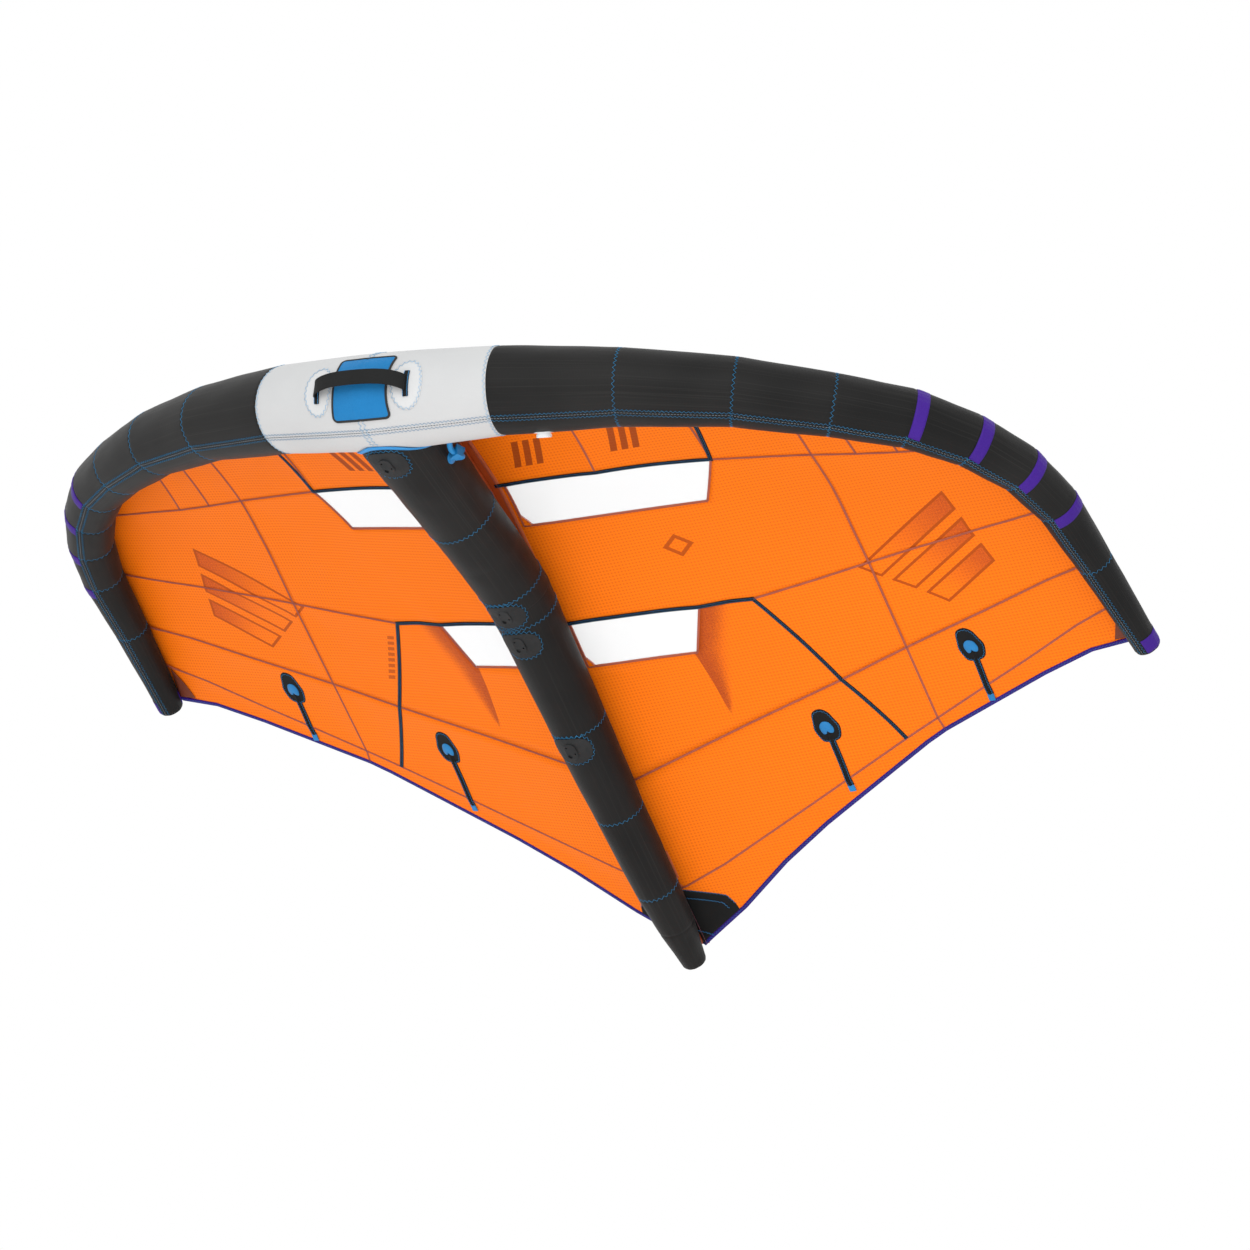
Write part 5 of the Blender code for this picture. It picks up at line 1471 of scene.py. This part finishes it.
def buildPlateStitches():
    kit = plates
    for y in kit["places"]:
        radius = strut.radius(strut.place(y, 1))
        line, besides = [], []
        for k in range(81):
            run, rise = math.cos(math.tau * k / 80), math.sin(math.tau * k / 80)
            reach = (abs(run) ** kit["square"] + abs(rise) ** kit["square"]) ** (-1 / kit["square"])
            around = rise * reach * (kit["width"] / 2 + kit["margin"]) / radius
            back = y + run * reach * (kit["length"] / 2 + kit["margin"])
            line.append(strut.point(strut.place(back, 1), around - math.pi / 2, 0.0008))
        for n, here in enumerate(line):
            along = (line[(n + 1) % 81] - line[n - 1]).normalized()
            out = strut.outward(strut.place(here.y, 1), math.atan2(here.z - 0.1, -here.x))
            besides.append(out.cross(along).normalized())
        guide("strutThread", line, besides)
    print("plate stitch lines ready")


buildPlateStitches()


# Air hose from the leading edge to the strut, a moulded tube held at both ends
hose = {
    "radius": 0.007, "flange": 0.0165, "flangeThick": 0.003, "sides": 24,
    "strutPlace": (0.185, math.radians(187.5)), "edgePlace": (0.135036, math.radians(-7.5)),
    "reach": 0.042, "corner": 0.375, "straight": 0.0117, "pull": 0.0147,
    # the collar's turned outline: height in flange thicknesses, radius in flange radii or in hose radii
    "collar": ((0.0, 1.0), (0.6, 1.0), (0.9, 0.96), (1.0, 0.88)), "neck": ((1.15, 1.25), (1.9, 1.08)),
}


def seatOn(tube, at, angle, reach):
    # the middle and the outward direction of the tube's facet at a place
    half = math.pi / 24
    low, high = tube.raw(at, angle - half), tube.raw(at, angle + half)
    rear, front = tube.shift(at, -reach), tube.shift(at, reach)
    ahead = tube.raw(front, angle - half) + tube.raw(front, angle + half)
    behind = tube.raw(rear, angle - half) + tube.raw(rear, angle + half)
    out = (ahead - behind).normalized().cross(high - low).normalized()
    return (low + high) / 2, -out if out.dot(tube.outward(at, angle)) < 0 else out


def bend(a, b, c, d, count=12):
    shares = [n / count for n in range(count + 1)]
    return [a * (1 - t) ** 3 + b * 3 * t * (1 - t) ** 2 + c * 3 * t ** 2 * (1 - t) + d * t ** 3 for t in shares]


def buildHose():
    kit = hose
    (strutAt, strutTurn), (edgeAt, edgeTurn) = kit["strutPlace"], kit["edgePlace"]
    start, leave = seatOn(strut, strut.place(strutAt, 1), strutTurn, kit["flange"])
    end, enter = seatOn(edge, edge.place(edgeAt, 0), edgeTurn, kit["flange"])
    first, last = start + leave * 0.0003, end + enter * 0.0003
    corner = (first + last) / 2 + (leave + enter) * kit["reach"] * kit["corner"]
    along = (last + enter * kit["reach"] - first - leave * kit["reach"]).normalized()
    half, pull = along * kit["straight"], kit["pull"]
    path = bend(first, first + leave * pull, corner - half - along * pull, corner - half)
    path += bend(corner + half, corner + half + along * pull, last + enter * pull, last)
    thick = kit["flangeThick"]
    profile = [(t, share * kit["flange"]) for t, share in kit["collar"]]
    profile += [(t, share * kit["radius"]) for t, share in kit["neck"]]
    stations = [(first + leave * thick * t, leave, r) for t, r in profile]
    for n, here in enumerate(path):
        if (here - first).length > thick * 2 and (here - last).length > thick * 2:
            stations.append((here, (path[n + 1] - path[n - 1]).normalized(), kit["radius"]))
    stations += [(last + enter * thick * t, -enter, r) for t, r in reversed(profile)]
    turns = [math.tau * k / kit["sides"] for k in range(kit["sides"])]
    rings, maps = [], []
    for (here, way, radius), run in zip(stations, runsAlong([s[0] for s in stations])):
        up = (Vector((0, 0, 1)) - way * way.z).normalized()
        beside = way.cross(up)
        rings.append([here + (beside * math.cos(t) + up * math.sin(t)) * radius for t in turns])
        maps += [(run, t * radius) for t in turns]
    loft("airHose", rings, maps, "hoseBlue", "hose_blue", ["air_hose"])
    print(f"air hose ready, {runsAlong(path)[-1]:.4f} m")


buildHose()


# Stitches: one tree for the zigzags and one for the straight dashes
def stitchTree(name, dashed):
    tree = bpy.data.node_groups.new(name, "GeometryNodeTree")
    face = tree.interface
    face.new_socket("Geometry", in_out="INPUT", socket_type="NodeSocketGeometry")
    for title, value in (("Pitch", 0.008), ("Swing", 0.005), ("Thread", 0.0007)):
        face.new_socket(title, in_out="INPUT", socket_type="NodeSocketFloat").default_value = value
    face.new_socket("Finish", in_out="INPUT", socket_type="NodeSocketMaterial")
    face.new_socket("Geometry", in_out="OUTPUT", socket_type="NodeSocketGeometry")
    graph = Graph(tree)
    node = graph.node
    given = {out.name: Number(graph, out) for out in tree.nodes.new("NodeGroupInput").outputs}
    pitch, swing, thread = given["Pitch"], given["Swing"], given["Thread"]
    curve = node("GeometryNodeMeshToCurve", {}, {"Mesh": given["Geometry"]})
    step = pitch if dashed else pitch * 0.5
    spaced = node("GeometryNodeResampleCurve", {"mode": "LENGTH"}, {"Curve": curve, "Length": step})
    if dashed:
        size = {"Vertices": 6, "Radius": thread, "Depth": pitch * 0.62}
        dash = node("GeometryNodeMeshCylinder", {"fill_type": "NGON"}, size)
        way = {"Vector": node("GeometryNodeInputTangent")}
        turn = node("FunctionNodeAlignRotationToVector", {"axis": "Z"}, way)
        sewn = node("GeometryNodeInstanceOnPoints", {}, {"Points": spaced, "Instance": dash, "Rotation": turn})
    else:
        wide = (node("GeometryNodeInputIndex").maths("MODULO", 2.0) - 0.5) * swing
        beside = node("GeometryNodeInputNamedAttribute", {"data_type": "FLOAT_VECTOR"}, {"Name": "beside"})
        push = node("ShaderNodeVectorMath", {"operation": "SCALE"}, {0: beside, "Scale": wide})
        moved = node("GeometryNodeSetPosition", {}, {"Geometry": spaced, "Offset": push})
        ring = node("GeometryNodeCurvePrimitiveCircle", {}, {"Resolution": 5, "Radius": thread})
        sewn = node("GeometryNodeCurveToMesh", {}, {"Curve": moved, "Profile Curve": ring, "Fill Caps": True})
    real = node("GeometryNodeRealizeInstances", {}, {0: sewn})
    painted = node("GeometryNodeSetMaterial", {}, {"Geometry": real, "Material": given["Finish"]})
    tree.links.new(painted.socket, tree.nodes.new("NodeGroupOutput").inputs[0])
    return tree


stitchTrees = {False: stitchTree("zigzagStitches", False), True: stitchTree("dashStitches", True)}
# group: name, finish, pitch, swing, thread, dashed, slot
stitchKinds = {
    "edgeThread": ("edgeRingStitches", "threadSea", 0.0135, 0.0072, 0.0007, False, "sleeve_black"),
    "whiteThread": ("whiteStitches", "threadPale", 0.0135, 0.0072, 0.0006, False, "sleeve_white"),
    "closeThread": ("edgeCloseStitches", "threadSea", 0.0105, 0.005, 0.0005, False, "sleeve_black"),
    "dashThread": ("edgeDashStitches", "threadGrey", 0.0075, 0.0, 0.0009, True, "sleeve_black"),
    "strutThread": ("strutStitches", "threadSea", 0.0135, 0.0072, 0.0007, False, "sleeve_black"),
    "seamThread": ("canopySeamStitches", "threadMauve", 0.006, 0.0014, 0.0005, False, "canopy_ripstop"),
    "tapeThread": ("tapeStitches", "threadDeep", 0.008, 0.0028, 0.00035, False, "tape_black"),
    "hemThread": ("hemStitches", "threadDeep", 0.0095, 0.0044, 0.0004, False, "hem_purple"),
    "patchThread": ("patchStitches", "threadDeep", 0.0085, 0.0036, 0.0006, False, "patch_black"),
    "handleThread": ("handleStitches", "threadBlue", 0.006, 0.001, 0.0005, False, "strap_black"),
}


def buildStitches():
    for group, (name, finish, pitch, swing, thread, dashed, slot) in stitchKinds.items():
        spots, ties, swings = guides[group]
        mesh = bpy.data.meshes.new(name + "Guide")
        mesh.from_pydata(toWorld(spots).tolist(), ties, [])
        beside = np.array([tuple(b) for b in swings]) @ turned
        attribute = mesh.attributes.new("beside", "FLOAT_VECTOR", "POINT")
        attribute.data.foreach_set("vector", beside.astype(np.float32).ravel())
        line = addObject(name + "Guide", mesh)
        tree = stitchTrees[dashed]
        modifier = line.modifiers.new("stitches", "NODES")
        modifier.node_group = tree
        wanted = {"Pitch": pitch, "Swing": swing, "Thread": thread, "Finish": finishes[finish]}
        for item in tree.interface.items_tree:
            if item.in_out == "INPUT" and item.name in wanted:
                modifier[item.identifier] = wanted[item.name]
        made = bpy.data.meshes.new_from_object(line.evaluated_get(bpy.context.evaluated_depsgraph_get()))
        made.name = name
        made.shade_smooth()
        bpy.data.objects.remove(line)
        ride(addObject(name, made), slot)
        print(f"{name}: {len(made.polygons)} faces")


buildStitches()


# Rigid parts keep their own solids and get their finishes
solidFinishes = {
    "handle_plate_1": "plateRubber", "handle_plate_2": "plateRubber", "handle_plate_3": "plateRubber",
    "handle_plate_4": "plateRubber", "valve_body": "valveWhite", "valve_cap": "valveWhite",
    "valve_core": "valveGrey", "hose_clamp": "clampBlue", "clamp_jaw": "clampBlue",
}
for node, finish in solidFinishes.items():
    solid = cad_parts[node]
    solid.data.materials.clear()
    solid.data.materials.append(finishes[finish])
print("rigid parts finished")


# Floor, world and lamps
stage = {"floor": -1.98, "floorSize": 60.0, "world": 0.99}
lamps = {
    "key": ((2.5, -5.5, 3.5), 4.0, 120.0),
    "front": ((5.0, -7.0, -1.0), 4.0, 20.0),
    "below": ((0.5, -1.5, -1.7), 3.0, 22.0),
}


def makeFloor():
    mesh = bpy.data.meshes.new("floor")
    reach, level = stage["floorSize"], stage["floor"]
    spots = [(x * reach, y * reach, level) for x, y in ((-1, -1), (1, -1), (1, 1), (-1, 1))]
    mesh.from_pydata(spots, [], [(0, 1, 2, 3)])
    pale = Finish("floorPale", 0.9)
    pale.feed("Base Color", pale.mix(pale.grain(0.7, 2.0), (0.9, 0.9, 0.9, 1), (0.92, 0.92, 0.92, 1)))
    mesh.materials.append(pale.material)
    addObject("floor", mesh)


def makeWorld():
    # a plain white sky, full white where the camera or a see-through window meets it
    world = bpy.data.worlds.new("softSky")
    world.use_nodes = True
    graph = Graph(world.node_tree)
    nodes = graph.tree.nodes
    white = (1, 1, 1, 1)
    sky = graph.node("ShaderNodeBackground", {}, {"Color": white, "Strength": stage["world"]})
    seen = graph.node("ShaderNodeBackground", {}, {"Color": white, "Strength": 1.0})
    rays = nodes.new("ShaderNodeLightPath").outputs
    straight, through = (Number(graph, rays[f"Is {kind} Ray"]) for kind in ("Camera", "Transmission"))
    either = straight.maths("MAXIMUM", through)
    choose = graph.node("ShaderNodeMixShader", {}, {0: either, 1: sky, 2: seen})
    graph.tree.links.new(choose.socket, nodes["World Output"].inputs["Surface"])
    bpy.context.scene.world = world


def makeLamps():
    for name, (spot, size, power) in lamps.items():
        data = bpy.data.lights.new(name, "AREA")
        data.size = size
        data.energy = power
        lamp = addObject(name, data)
        lamp.location = spot
        lamp.rotation_euler = (-Vector(spot)).to_track_quat("-Z", "Y").to_euler()


makeFloor()
makeWorld()
makeLamps()
bpy.context.scene.view_settings.view_transform = "Standard"

print("wing ready")
